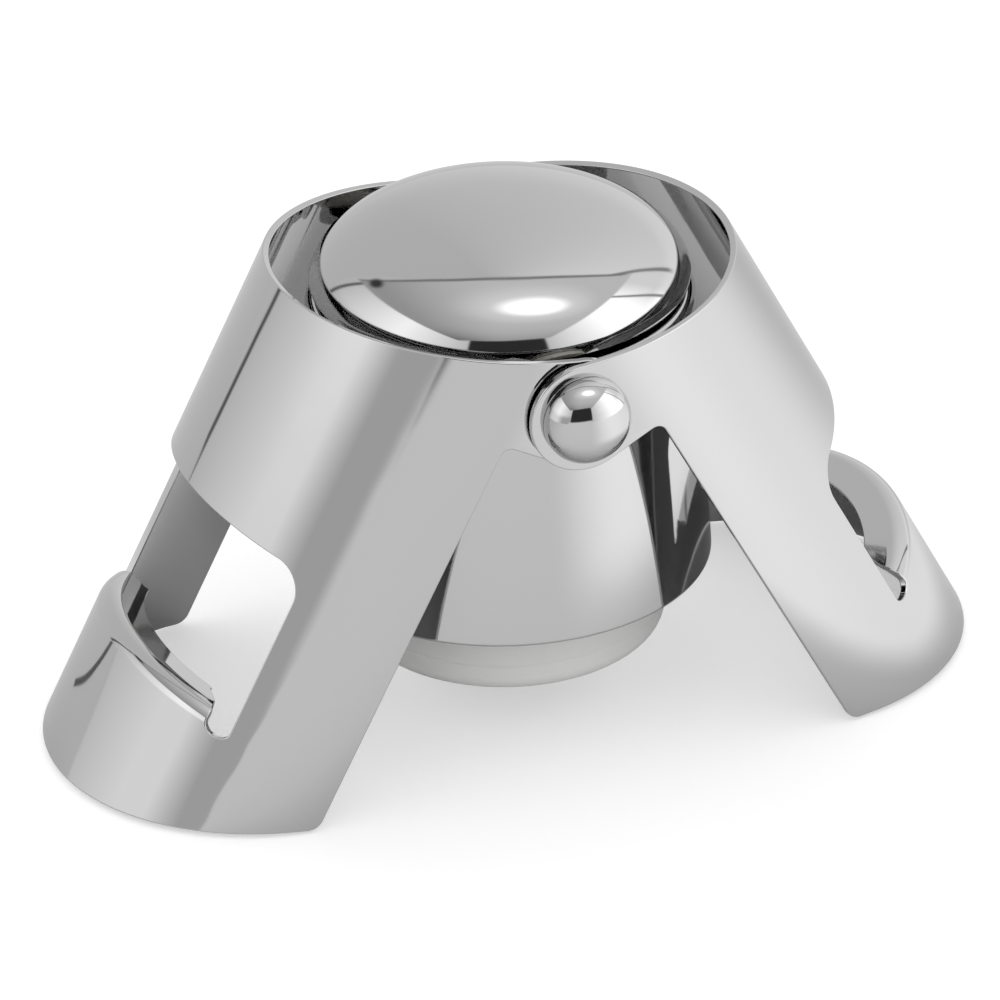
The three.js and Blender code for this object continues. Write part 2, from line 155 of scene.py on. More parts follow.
# %% Camera
CAMERA_TURN = math.radians(19.907)
CAMERA_DROP = math.radians(28.618)
CAMERA_ROLL = math.radians(-1.536)
CAMERA_AIM_MM = (-1.809, -3.432, 20.633)
CAMERA_DISTANCE_MM = 461.2
CAMERA_LENS_MM = 176.73
SENSOR_MM = 36.0


def make_camera():
    forward = Vector((math.sin(CAMERA_TURN) * math.cos(CAMERA_DROP),
                      math.cos(CAMERA_TURN) * math.cos(CAMERA_DROP), -math.sin(CAMERA_DROP)))
    level = Vector((math.cos(CAMERA_TURN), -math.sin(CAMERA_TURN), 0))
    upright = level.cross(forward)
    right = level * math.cos(CAMERA_ROLL) + upright * math.sin(CAMERA_ROLL)
    up = upright * math.cos(CAMERA_ROLL) - level * math.sin(CAMERA_ROLL)
    data = bpy.data.cameras.new("photo_camera")
    data.lens = CAMERA_LENS_MM
    data.sensor_width = SENSOR_MM
    data.clip_start = 0.01
    camera = add_object("photo_camera", data)
    place = Vector(CAMERA_AIM_MM) * MM - forward * CAMERA_DISTANCE_MM * MM
    camera.matrix_world = Matrix.Translation(place) @ Matrix((right, up, -forward)).transposed().to_4x4()
    scene.camera = camera
    return camera


make_camera()
scene.view_settings.view_transform = "Standard"
print("camera", [round(x, 3) for x in scene.camera.location])

# %% [markdown]
# Node helpers
#
# Materials and Geometry Nodes trees are both graphs. One small function adds a node, sets its
# properties and its inputs, and links what is given as a socket.

# %% Node and colour helpers


def linear(hex_colour):
    """An sRGB hex colour such as #c4c5c5 as linear red, green, blue and alpha 1."""
    values = [int(hex_colour[i:i + 2], 16) / 255 for i in (1, 3, 5)]
    return [v / 12.92 if v <= 0.04045 else ((v + 0.055) / 1.055) ** 2.4 for v in values] + [1.0]


def node(tree, kind, inputs=None, **settings):
    """Adds a node; inputs maps an input's name or number to a value or to a socket to link."""
    made = tree.nodes.new(kind)
    for key, value in settings.items():
        setattr(made, key, value)
    for key, value in (inputs or {}).items():
        if isinstance(value, bpy.types.NodeSocket):
            tree.links.new(value, made.inputs[key])
        else:
            made.inputs[key].default_value = value
    return made


def new_material(name, **inputs):
    """A material with a Principled shader whose sockets are set directly."""
    material = bpy.data.materials.new(name)
    material.use_nodes = True
    tree = material.node_tree
    shader = tree.nodes["Principled BSDF"]
    for key, value in inputs.items():
        shader.inputs[key.replace("_", " ")].default_value = value
    return material, tree, shader


# %% [markdown]
# Bright chrome plate
#
# The arms, bell, cap and rivets are steel, buffed and then plated with bright nickel and chromium.
# The plate is thin and level, so it mirrors the room. What tells it from a perfect mirror is the
# buffing under it: a long, faint waviness a few millimetres wide, and a haze that varies slightly.


# %% Chrome material
BUFFING_WAVE_MM = 7.0
BUFFING_DEPTH_MM = 0.5
HAZE_PATCH_MM = 11.0
CLEAREST, HAZIEST = 0.035, 0.075


def chrome_plate():
    material, tree, shader = new_material("bright_chrome_plate_on_buffed_steel", Metallic=1.0)
    shader.inputs["Base Color"].default_value = linear("#c5c5c5")
    place = node(tree, "ShaderNodeTexCoord").outputs["Object"]
    haze = node(tree, "ShaderNodeTexNoise", {"Vector": place, "Scale": 1 / (HAZE_PATCH_MM * MM),
                                             "Detail": 3.0, "Roughness": 0.6})
    gloss = node(tree, "ShaderNodeMapRange", {"Value": haze.outputs["Fac"], "From Min": 0.3, "From Max": 0.7,
                                              "To Min": CLEAREST, "To Max": HAZIEST})
    tree.links.new(gloss.outputs["Result"], shader.inputs["Roughness"])
    wave = node(tree, "ShaderNodeTexNoise", {"Vector": place, "Scale": 1 / (BUFFING_WAVE_MM * MM),
                                             "Detail": 1.0, "Roughness": 0.4})
    bump = node(tree, "ShaderNodeBump", {"Height": wave.outputs["Fac"], "Strength": 0.05,
                                         "Distance": BUFFING_DEPTH_MM * MM})
    tree.links.new(bump.outputs["Normal"], shader.inputs["Normal"])
    return material


chrome = chrome_plate()
print("made", chrome.name)

# %% [markdown]
# Silicone, steel, acetal, nylon and rubber
#
# The seal is moulded silicone: pale grey and satin. The small parts keep their factory finishes:
# turned stainless steel, moulded acetal and nylon with the fine grain of their moulds, and punched
# black rubber.

# %% Other materials
MOULD_GRAIN_MM = 0.35
TURNING_MARK_MM = 0.25
TURNING_DEPTH_MM = 0.02
TURNED_SMOOTHEST, TURNED_ROUGHEST = 0.24, 0.36
RUBBER_GRAIN_MM = 0.3
COLOUR_CLOUD_MM = 6.0


def grained(name, colour, roughness, grain_mm, depth_mm, contrast=0.04, **inputs):
    """A dull material with a fine grain from its mould and a slight variation of its colour."""
    material, tree, shader = new_material(name, Roughness=roughness, **inputs)
    place = node(tree, "ShaderNodeTexCoord").outputs["Object"]
    grain = node(tree, "ShaderNodeTexNoise", {"Vector": place, "Scale": 1 / (grain_mm * MM), "Detail": 2.0})
    cloud = node(tree, "ShaderNodeTexNoise", {"Vector": place, "Scale": 1 / (COLOUR_CLOUD_MM * MM),
                                              "Detail": 3.0})
    low = [channel * (1 - contrast) for channel in linear(colour)[:3]] + [1.0]
    high = [channel * (1 + contrast) for channel in linear(colour)[:3]] + [1.0]
    mixed = node(tree, "ShaderNodeMix", {"Factor": cloud.outputs["Fac"], 6: low, 7: high}, data_type="RGBA")
    tree.links.new(mixed.outputs[2], shader.inputs["Base Color"])
    bump = node(tree, "ShaderNodeBump", {"Height": grain.outputs["Fac"], "Strength": 0.25,
                                         "Distance": depth_mm * MM})
    tree.links.new(bump.outputs["Normal"], shader.inputs["Normal"])
    return material


def turned_steel():
    material, tree, shader = new_material("turned_stainless_steel", Metallic=1.0)
    shader.inputs["Base Color"].default_value = linear("#c3c3c1")
    place = node(tree, "ShaderNodeTexCoord").outputs["Object"]
    marks = node(tree, "ShaderNodeTexWave", {"Vector": place, "Scale": 0.05 / (TURNING_MARK_MM * MM),
                                             "Distortion": 0.6, "Detail": 2.0},
                 wave_type="RINGS", rings_direction="Z")
    gloss = node(tree, "ShaderNodeMapRange", {"Value": marks.outputs["Fac"], "To Min": TURNED_SMOOTHEST,
                                              "To Max": TURNED_ROUGHEST})
    tree.links.new(gloss.outputs["Result"], shader.inputs["Roughness"])
    bump = node(tree, "ShaderNodeBump", {"Height": marks.outputs["Fac"], "Strength": 0.15,
                                         "Distance": TURNING_DEPTH_MM * MM})
    tree.links.new(bump.outputs["Normal"], shader.inputs["Normal"])
    return material


silicone = grained("moulded_grey_silicone", "#e0e0df", 0.42, MOULD_GRAIN_MM, 0.01, 0.03)
acetal = grained("moulded_white_acetal", "#dcdcd8", 0.4, MOULD_GRAIN_MM, 0.02)
nylon = grained("natural_nylon", "#e2dfd6", 0.35, MOULD_GRAIN_MM, 0.01)
rubber = grained("punched_black_rubber", "#151515", 0.6, RUBBER_GRAIN_MM, 0.03, 0.2)
steel = turned_steel()
print("made", len(bpy.data.materials), "materials")

# %% [markdown]
# Turned pieces
#
# The bell, the cap, the rivet heads, the seal and the washers are all round. Each is a profile of
# radius and height, turned round an axis. A mirror finish needs exact normals: the profile gives
# them, so the mesh carries them itself and shades the same at any number of faces.

# %% Profiles
SMALL_SEGMENTS, RIVET_SEGMENTS, WIDE_SEGMENTS, MIRROR_SEGMENTS = 96, 128, 192, 256
SAME_PLACE_MM = 1e-6


def rounded(corners, steps=6):
    """A closed or open outline of (radius, height, rounding) as points with their outward normals.

    Each corner becomes an arc that touches both sides, and each point carries the normal of the
    side or arc there. The outline runs anticlockwise, so that outward is to its right.
    """
    points = []
    count = len(corners)
    for index, (x, y, rounding) in enumerate(corners):
        here = Vector((x, y))
        before = Vector(corners[index - 1][:2])
        after = Vector(corners[(index + 1) % count][:2])
        arriving = (here - before).normalized()
        leaving = (after - here).normalized()
        turn = math.atan2(arriving.x * leaving.y - arriving.y * leaving.x, arriving.dot(leaving))
        first_normal = Vector((arriving.y, -arriving.x))
        if rounding <= 0:
            points.append((here, first_normal))
            points.append((here, Vector((leaving.y, -leaving.x))))
            continue
        reach = rounding * abs(math.tan(turn / 2))
        side = 1 if turn > 0 else -1
        centre = here - arriving * reach - first_normal * rounding * side
        for step in range(steps + 1):
            angle = turn * step / steps
            normal = Vector((first_normal.x * math.cos(angle) - first_normal.y * math.sin(angle),
                             first_normal.x * math.sin(angle) + first_normal.y * math.cos(angle)))
            points.append((centre + normal * rounding * side, normal))
    return points


def mesh_object(name, vertices, faces, normals, material):
    """An object from vertices in metres, faces, and one normal for each corner of each face."""
    mesh = bpy.data.meshes.new(name)
    mesh.from_pydata(vertices, [], faces)
    mesh.polygons.foreach_set("use_smooth", [True] * len(mesh.polygons))
    mesh.materials.append(material)
    mesh.normals_split_custom_set([tuple(n) for n in normals])
    return add_object(name, mesh)


def turned(name, profile, material, matrix, segments):
    """Turns a profile of (point, normal) round the Z axis and returns the object.

    The profile closes on itself, or starts and ends on the axis. Points that share a place but not
    a normal make a sharp edge there, and share their vertices.
    """
    places = []
    place_of = []
    for point, _ in profile:
        if places and (point - places[-1]).length < SAME_PLACE_MM:
            place_of.append(len(places) - 1)
            continue
        if len(places) > 1 and (point - places[0]).length < SAME_PLACE_MM:
            place_of.append(0)
            continue
        place_of.append(len(places))
        places.append(point)
    on_axis = [abs(p.x) < SAME_PLACE_MM for p in places]
    vertices = []
    first = []
    for place, axis in zip(places, on_axis):
        first.append(len(vertices))
        for segment in range(1 if axis else segments):
            angle = 2 * math.pi * segment / segments
            vertices.append(Vector((place.x * math.cos(angle), place.x * math.sin(angle), place.y)))
    faces = []
    normals = []

    def corner(entry, segment):
        place = place_of[entry]
        angle = 2 * math.pi * segment / segments
        vertex = first[place] + (0 if on_axis[place] else segment % segments)
        slope = profile[entry][1]
        return vertex, Vector((slope.x * math.cos(angle), slope.x * math.sin(angle), slope.y))

    closed = not (on_axis[place_of[0]] and on_axis[place_of[-1]])
    for entry in range(len(profile) if closed else len(profile) - 1):
        follower = (entry + 1) % len(profile)
        if place_of[entry] == place_of[follower]:
            continue
        for segment in range(segments):
            ring = [corner(entry, segment), corner(entry, segment + 1),
                    corner(follower, segment + 1), corner(follower, segment)]
            kept = []
            for vertex, normal in ring:
                if vertex not in [k[0] for k in kept]:
                    kept.append((vertex, normal))
            faces.append([vertex for vertex, _ in kept])
            normals.extend(normal for _, normal in kept)
    matrix = matrix @ Matrix.Scale(MM, 4)
    turn = matrix.to_3x3().normalized()
    return mesh_object(name, [matrix @ v for v in vertices], faces, [turn @ n for n in normals], material)


at_hinge = Matrix.Translation((0, 0, hinge_height * MM))


def on_rivet(side):
    """Lays the turning axis along the hinge, pointing to the front (-1) or to the back (1)."""
    return at_hinge @ Matrix.Rotation(-side * math.pi / 2, 4, "X")


def curve_points(formula, count):
    """Points and outward normals of a smooth curve given by a formula of 0 to 1."""
    shares = np.linspace(0, 1, count)
    places = np.array([formula(share) for share in shares])
    slopes = np.gradient(places, shares, axis=0, edge_order=2)
    found = []
    for place, slope in zip(places, slopes):
        along = Vector(slope).normalized()
        found.append((Vector(place), Vector((along.y, -along.x))))
    return found


print("profile helpers ready")

# %% [markdown]
# The bell
#
# A deep-drawn shell: its wall leans out by a few hundredths of its height, so that it comes off the
# punch, and its shoulder has the round that the draw leaves. The mouth is trimmed and deburred.

# %% Bell
BELL_CEILING_ROUND, BELL_MOUTH_INSIDE_ROUND, BELL_MOUTH_OUTSIDE_ROUND = 0.5, 0.25, 0.35


def bell_radius(height):
    share = (BELL_TOP - height) / BELL_HEIGHT
    return bell_shoulder_radius + (bell_mouth_radius - bell_shoulder_radius) * share


def make_bell():
    ceiling = BELL_TOP - BELL_TOP_PLATE
    return turned("bell_shell", rounded([
        (SCREW_HOLE_RADIUS, ceiling, 0),
        (bell_radius(ceiling) - BELL_WALL, ceiling, BELL_CEILING_ROUND),
        (bell_mouth_radius - BELL_WALL, bell_mouth, BELL_MOUTH_INSIDE_ROUND),
        (bell_mouth_radius, bell_mouth, BELL_MOUTH_OUTSIDE_ROUND),
        (bell_radius(BELL_TOP), BELL_TOP, BELL_SHOULDER_ROUND),
        (SCREW_HOLE_RADIUS, BELL_TOP, 0),
    ], steps=10), chrome, at_hinge, MIRROR_SEGMENTS)


bell = make_bell()
print("bell", len(bell.data.polygons), "faces")

# %% [markdown]
# The cap
#
# A pebble of solid metal: nearly flat in the middle, then rolling over to a soft edge. An ellipse is
# too round in the middle, so the dome follows a curve whose power sets how flat its middle is.

# %% Cap and its gasket
WASHER_EDGE = 0.08
CAP_UNDER_POINTS, CAP_DOME_POINTS = 12, 72


def make_cap():
    underside = BELL_TOP + GASKET_THICKNESS
    equator = underside + CAP_UNDER_DEPTH
    under_angle = math.asin(CAP_UNDER_DEPTH / CAP_UNDER_SEMI_HEIGHT)

    def under(share):
        angle = -under_angle * (1 - share)
        return cap_radius * math.cos(angle), equator + CAP_UNDER_SEMI_HEIGHT * math.sin(angle)

    # the dome's own centre lies below the edge, so it still leans inward where it meets the edge
    rise = CAP_DOME_HEIGHT + CAP_DOME_DROP
    edge_angle = math.asin((CAP_DOME_DROP / rise) ** (CAP_DOME_POWER / 2))
    spread = cap_radius / math.cos(edge_angle) ** (2 / CAP_DOME_POWER)

    def dome(share):
        angle = edge_angle + (math.pi / 2 - edge_angle) * share
        return (spread * math.cos(angle) ** (2 / CAP_DOME_POWER),
                equator - CAP_DOME_DROP + rise * math.sin(angle) ** (2 / CAP_DOME_POWER))

    down = Vector((0, -1))
    up = Vector((0, 1))
    low = curve_points(under, CAP_UNDER_POINTS)
    high = curve_points(dome, CAP_DOME_POINTS)
    profile = [(Vector((0, underside)), down), (low[0][0], down), *low, *high[1:-1],
               (Vector((0, equator + CAP_DOME_HEIGHT)), up)]
    return turned("cap_pebble", profile, chrome, at_hinge, MIRROR_SEGMENTS)


def washer(name, inner, outer, bottom, top, material, matrix, edge=WASHER_EDGE, segments=SMALL_SEGMENTS):
    return turned(name, rounded([(inner, bottom, edge), (outer, bottom, edge), (outer, top, edge),
                                 (inner, top, edge)], 3), material, matrix, segments)


cap = make_cap()
gasket = washer("gasket_ring", SCREW_HOLE_RADIUS, cap_radius - GASKET_INSET, BELL_TOP,
                BELL_TOP + GASKET_THICKNESS, rubber, at_hinge, 0.1, WIDE_SEGMENTS)
print("cap", len(cap.data.polygons), "faces")

# %% [markdown]
# The arms
#
# Each arm starts as a flat blank of 0.7 mm sheet with a window punched in it. A tongue left in the
# window is folded in to make the lip, and the blank is then bent into a U. The lesson does the same:
# an outline is drawn on the flat, filled and given its thickness, and a Geometry Nodes tree folds
# the tongue and wraps the blank round the U. A rule bends every point alike, which no amount of
# pushing vertices by hand would do as evenly.

# %% The U that the blank is wrapped round
TABLE_STEPS = 4000
end_depth = arm_reach - CHEEK_FLAT

quarter_angles = np.linspace(0, math.pi / 2, TABLE_STEPS)
quarter_x = CHEEK_FLAT + end_depth * np.cos(quarter_angles)
quarter_y = arm_half_width * np.sin(quarter_angles)
quarter_length = np.concatenate([[0], np.cumsum(np.hypot(np.diff(quarter_x), np.diff(quarter_y)))])
end_length = float(quarter_length[-1])


def length_at_x(x):
    """Distance along the U from its middle to the place whose x is given."""
    if x <= CHEEK_FLAT:
        return end_length + CHEEK_FLAT - x
    return float(np.interp(-x, -quarter_x, quarter_length))


def length_at_y(y):
    return float(np.interp(y, quarter_y, quarter_length))


def outward_at(length):
    """The U's outward direction at a distance from its middle, on the +Y side."""
    angle = float(np.interp(length, quarter_length, quarter_angles))
    direction = Vector((math.cos(angle) / end_depth, math.sin(angle) / arm_half_width))
    return direction.normalized()


print(f"the U's blank is {2 * (end_length + CHEEK_FLAT + LUG_RADIUS):.1f} mm long")

# %% [markdown]
# The blank's outline
#
# The rim and the foot are straight cuts across the finished U, so on the flat they are gentle
# curves. They are found by walking along the U and asking where the cut is at each place.

# %% Outline of the blank
COLUMN_MM = 0.5
ARC_STEPS, LUG_STEPS, TIP_ROUND_STEPS = 14, 56, 6
TIP_SEARCH_MM = 0.01
CLOSEST_POINTS_MM = 0.02
FOLD_MIDDLE_RADIUS = LIP_BEND_RADIUS - SHEET / 2
fold_start = LIP_TOP - LIP_BEND_RADIUS
fold_length = FOLD_MIDDLE_RADIUS * math.pi / 2
tongue_tip = fold_start + fold_length + LIP_DEPTH - LIP_BEND_RADIUS


def arc_points(centre, radius_x, radius_y, start, end, steps=ARC_STEPS):
    return [(centre[0] + radius_x * math.cos(a), centre[1] + radius_y * math.sin(a))
            for a in np.linspace(start, end, steps + 1)]


def rim_at(x):
    return RIM_HEIGHT + RIM_SLOPE_SHARE * x


def foot_at(length, x):
    """Height of the foot's cut: the sheet's inner corner is the one that meets the table."""
    inward = SHEET * outward_at(length).x if length < end_length else 0
    return -CORNER_BELOW_HINGE - math.tan(OPEN_ANGLE) * (x - inward - INNER_EDGE)


def half_outline():
    """The +Y half of the outline, from the rim's middle round the lug and back to the foot's middle."""
    lengths = np.linspace(0, end_length, round(end_length / COLUMN_MM) + 1)
    xs = np.interp(lengths, quarter_length, quarter_x)
    a = 1 + RIM_SLOPE_SHARE ** 2
    b = RIM_HEIGHT * RIM_SLOPE_SHARE
    meet_x = (-b + math.sqrt(b * b - a * (RIM_HEIGHT ** 2 - LUG_RADIUS ** 2))) / a
    rim = [(length, rim_at(x)) for length, x in zip(lengths, xs) if x > meet_x + COLUMN_MM / 4]
    lug = arc_points((0, 0), LUG_RADIUS, LUG_RADIUS, math.atan2(rim_at(meet_x), meet_x), 3 * math.pi / 2,
                     LUG_STEPS)
    fillet = arc_points((INNER_EDGE - LUG_FILLET, -LUG_RADIUS - LUG_FILLET), LUG_FILLET, LUG_FILLET,
                        math.pi / 2, 0)
    slope = math.tan(OPEN_ANGLE)
    slant = math.hypot(1, slope)
    corner = arc_points((INNER_EDGE + CORNER_ROUND, CORNER_ROUND * (slant - slope) - CORNER_BELOW_HINGE),
                        CORNER_ROUND, CORNER_ROUND, math.pi, math.pi + math.atan2(1, slope))
    cheek = [(length_at_x(x), z) for x, z in lug + fillet + corner]
    foot = [(length, foot_at(length, x)) for length, x in zip(lengths, xs) if x > INNER_EDGE + CORNER_ROUND]
    return rim + cheek + foot[::-1]


def half_window():
    """The +Y half of the window's outline, from the middle of its top to the middle of the tongue's tip."""
    straight = length_at_y(WINDOW_HALF_WIDTH - WINDOW_CORNER_ACROSS)
    top = [(length, WINDOW_TOP) for length in np.arange(0, straight, COLUMN_MM)]
    upper = arc_points((WINDOW_HALF_WIDTH - WINDOW_CORNER_ACROSS, WINDOW_TOP - WINDOW_CORNER_ALONG),
                       WINDOW_CORNER_ACROSS, WINDOW_CORNER_ALONG, math.pi / 2, 0)
    notch_radius = NOTCH_WIDTH / 2
    notch_floor = LIP_TOP - NOTCH_DEPTH + notch_radius
    notch = arc_points((WINDOW_HALF_WIDTH - notch_radius, notch_floor), notch_radius, notch_radius,
                       0, -math.pi)
    side = [(length_at_y(y), z) for y, z in upper + notch]
    root = length_at_y(WINDOW_HALF_WIDTH - NOTCH_WIDTH)
    tip = root
    while True:
        angle = float(np.interp(tip, quarter_length, quarter_angles))
        if arm_half_width * math.sin(angle) - LIP_DEPTH * outward_at(tip).y <= LIP_TIP_HALF_WIDTH:
            break
        tip -= TIP_SEARCH_MM
    climb = tongue_tip - LIP_TIP_ROUND - notch_floor
    edge = [(root + (tip - root) * share ** 2, notch_floor + climb * share)
            for share in np.linspace(0, 1, 9)[1:-1]]
    rounding = arc_points((tip - LIP_TIP_ROUND, tongue_tip - LIP_TIP_ROUND), LIP_TIP_ROUND, LIP_TIP_ROUND,
                          0, math.pi / 2, TIP_ROUND_STEPS)
    end = [(length, tongue_tip) for length in np.arange(0, tip - LIP_TIP_ROUND - COLUMN_MM / 2, COLUMN_MM)]
    return top + side + edge + rounding + end[::-1]


def mirrored(half):
    """The whole outline from its +Y half, whose first and last points lie in the middle."""
    return half + [(-length, z) for length, z in half[-2:0:-1]]


def area(outline):
    return sum(p[0] * q[1] - q[0] * p[1] for p, q in zip(outline, outline[1:] + outline[:1])) / 2


def thinned(outline):
    """The outline without points that lie on top of one another."""
    return [p for p, q in zip(outline, outline[-1:] + outline[:-1]) if math.dist(p, q) > CLOSEST_POINTS_MM]


def wound(outline, positive):
    """The outline in the asked winding: anticlockwise for the blank's edge, clockwise for a window."""
    return outline if (area(outline) > 0) == positive else outline[::-1]


blank_edge = wound(thinned(mirrored(half_outline())), True)
window_edge = wound(thinned(mirrored(half_window())), False)
print("outline points:", len(blank_edge), "and", len(window_edge))

# %% [markdown]
# Filling the blank
#
# The flat faces are triangles between the outline and a grid of points in columns, so that the
# sheet can bend smoothly. The cut edges get the small round that tumbling leaves before plating,
# which is what catches the thin line of light along a real stamping's edge.

# %% Fill and thicken the blank
EDGE_ROUND = 0.13
EDGE_STEPS = 3
ROW_MM = 1.6
LOWEST_ROW, HIGHEST_ROW, FOLD_ROWS = -60, 6, 9
CLEAR_OF_EDGE_MM = COLUMN_MM * 0.55


def edge_normals(outline):
    """For each point, the direction out of the material, and how far a parallel outline's corner goes."""
    found = []
    for before, here, after in zip(outline[-1:] + outline[:-1], outline, outline[1:] + outline[:1]):
        first = Vector((here[1] - before[1], before[0] - here[0])).normalized()
        second = Vector((after[1] - here[1], here[0] - after[0])).normalized()
        middle = (first + second).normalized()
        found.append((middle, 1 / max(middle.dot(first), 0.5)))
    return found


def inset(outline, normals, distance):
    return [(p[0] - n.x * distance * reach, p[1] - n.y * distance * reach)
            for p, (n, reach) in zip(outline, normals)]


def inside(points, outline):
    """Which points lie inside a closed outline, by counting the edges that a ray crosses."""
    points = np.asarray(points)
    edge = np.asarray(outline)
    after = np.roll(edge, -1, axis=0)
    result = np.zeros(len(points), bool)
    for (x0, y0), (x1, y1) in zip(edge, after):
        if y0 == y1:
            continue
        crosses = (points[:, 1] > y0) != (points[:, 1] > y1)
        at = x0 + (points[:, 1] - y0) * (x1 - x0) / (y1 - y0)
        result ^= crosses & (points[:, 0] < at)
    return result


def grid_points(edge, window):
    """Columns of points inside the blank, closer together where the tongue is folded."""
    span = end_length + CHEEK_FLAT + LUG_RADIUS
    columns = np.arange(-span, span, COLUMN_MM)
    rows = np.concatenate([np.arange(LOWEST_ROW, fold_start - 0.3, ROW_MM),
                           np.linspace(fold_start, fold_start + fold_length, FOLD_ROWS),
                           np.arange(fold_start + fold_length + ROW_MM / 2, HIGHEST_ROW, ROW_MM)])
    points = np.array([(s, z) for s in columns for z in rows])
    points = points[inside(points, edge) & ~inside(points, window)]
    border = np.array(edge + window)
    gap = np.array([np.hypot(*(border - p).T).min() for p in points])
    return [tuple(p) for p in points[gap > CLEAR_OF_EDGE_MM]]


def fill_blank():
    """Flat triangles between the two inset outlines, as points and triangles."""
    edges = [inset(o, edge_normals(o), EDGE_ROUND) for o in (blank_edge, window_edge)]
    loose = grid_points(*edges)
    points = edges[0] + edges[1] + loose
    first = len(edges[0])
    second = len(edges[1])
    rims = [(i, (i + 1) % first) for i in range(first)]
    rims += [(first + i, first + (i + 1) % second) for i in range(second)]
    found = delaunay_2d_cdt([Vector(p) for p in points], rims, [], 0, 1e-7)
    assert len(found[0]) == len(points), "the filling added points"
    triangles = [tuple(t) for t in found[2]]
    order = [source[0] for source in found[3]]
    middles = np.array([np.mean([found[0][i] for i in t], axis=0) for t in triangles])
    keep = inside(middles, edges[0]) & ~inside(middles, edges[1])
    kept = [tuple(order[i] for i in t) for t, k in zip(triangles, keep) if k]
    return points, kept


blank_points, blank_triangles = fill_blank()
print("blank filled with", len(blank_triangles), "triangles")

# %% Blank mesh


def thick_blank():
    """The blank as vertices (length, depth, height), faces, and a flat normal for each face corner."""
    count = len(blank_points)
    vertices = [(p[0], 0.0, p[1]) for p in blank_points] + [(p[0], SHEET, p[1]) for p in blank_points]
    out = Vector((0, -1, 0))
    faces = []
    normals = []
    for a, b, c in blank_triangles:
        turn = ((blank_points[b][0] - blank_points[a][0]) * (blank_points[c][1] - blank_points[a][1])
                - (blank_points[c][0] - blank_points[a][0]) * (blank_points[b][1] - blank_points[a][1]))
        if turn < 0:
            b, c = c, b
        faces.append((a, b, c))
        normals += [out] * 3
        faces.append((count + a, count + c, count + b))
        normals += [-out] * 3
    quarter = [(math.pi / 2 * k / EDGE_STEPS) for k in range(EDGE_STEPS + 1)]
    section = [(EDGE_ROUND * (1 - math.sin(a)), EDGE_ROUND * (1 - math.cos(a)), a) for a in quarter]
    section += [(i, SHEET - d, math.pi - a) for i, d, a in section[::-1]]
    start = 0
    for outline in (blank_edge, window_edge):
        sides = edge_normals(outline)
        size = len(outline)
        rings = []
        for number, (back, depth, _) in enumerate(section):
            if number == 0:
                rings.append([start + i for i in range(size)])
            elif number == len(section) - 1:
                rings.append([count + start + i for i in range(size)])
            else:
                rings.append([len(vertices) + i for i in range(size)])
                vertices += [(p[0], depth, p[1]) for p in inset(outline, sides, back)]
        for number in range(len(section) - 1):
            for i in range(size):
                j = (i + 1) % size
                faces.append((rings[number][i], rings[number + 1][i], rings[number + 1][j], rings[number][j]))
                for point, step in ((i, number), (i, number + 1), (j, number + 1), (j, number)):
                    angle = section[step][2]
                    side = sides[point][0]
                    normals.append(out * math.cos(angle) + Vector((side.x, 0, side.y)) * math.sin(angle))
        start += size
    return vertices, faces, normals


blank_vertices, blank_faces, blank_normals = thick_blank()
print("blank mesh", len(blank_vertices), "vertices,", len(blank_faces), "faces")

# %% [markdown]
# Folding and wrapping with Geometry Nodes
#
# The tree reads each vertex as length, depth and height. It first rolls the tongue round the fold's
# radius, then samples a curve, the U, at the vertex's length, and steps inward from it by the depth.
# The directions it finds are stored, so that the flat normals can be turned with the sheet.

# %% What every tree shares


def shape_tree(name, sizes):
    """A Geometry Nodes tree with a number input for each named size, and an input for the material."""
    tree = bpy.data.node_groups.new(name, "GeometryNodeTree")
    sockets = {"Geometry": "NodeSocketGeometry"}
    sockets.update({size: "NodeSocketFloat" for size in sizes})
    sockets["Material"] = "NodeSocketMaterial"
    for label, kind in sockets.items():
        socket = tree.interface.new_socket(label, in_out="INPUT", socket_type=kind)
        if label in sizes:
            socket.default_value = sizes[label]
    tree.interface.new_socket("Geometry", in_out="OUTPUT", socket_type="NodeSocketGeometry")
    return tree, tree.nodes.new("NodeGroupInput").outputs


def end_tree(tree, geometry, material):
    """Ends a tree: its instances become real, and the geometry gets its material."""
    real = node(tree, "GeometryNodeRealizeInstances", {"Geometry": geometry})
    painted = node(tree, "GeometryNodeSetMaterial", {"Geometry": real.outputs[0], "Material": material})
    node(tree, "NodeGroupOutput", {0: painted.outputs[0]})
    return tree


def calculator(tree):
    """A short way to add sums to a tree: it returns the socket with the result."""
    def calc(operation, a, b=0.0):
        return node(tree, "ShaderNodeMath", {0: a, 1: b}, operation=operation).outputs[0]
    return calc


def vector(tree, x, y, z):
    return node(tree, "ShaderNodeCombineXYZ", {0: x, 1: y, 2: z}).outputs[0]


def bent_line(tree, steps, place):
    """A line of that many steps, each point moved to its place, as a curve."""
    line = node(tree, "GeometryNodeMeshLine", {"Count": steps + 1})
    shaped = node(tree, "GeometryNodeSetPosition", {"Geometry": line.outputs[0], "Position": place})
    return node(tree, "GeometryNodeMeshToCurve", {"Mesh": shaped.outputs[0]}).outputs[0]


print("tree helpers ready")

# %% Fold and wrap tree
U_STEPS = 3000
CHEEK_SPARE = 1.0


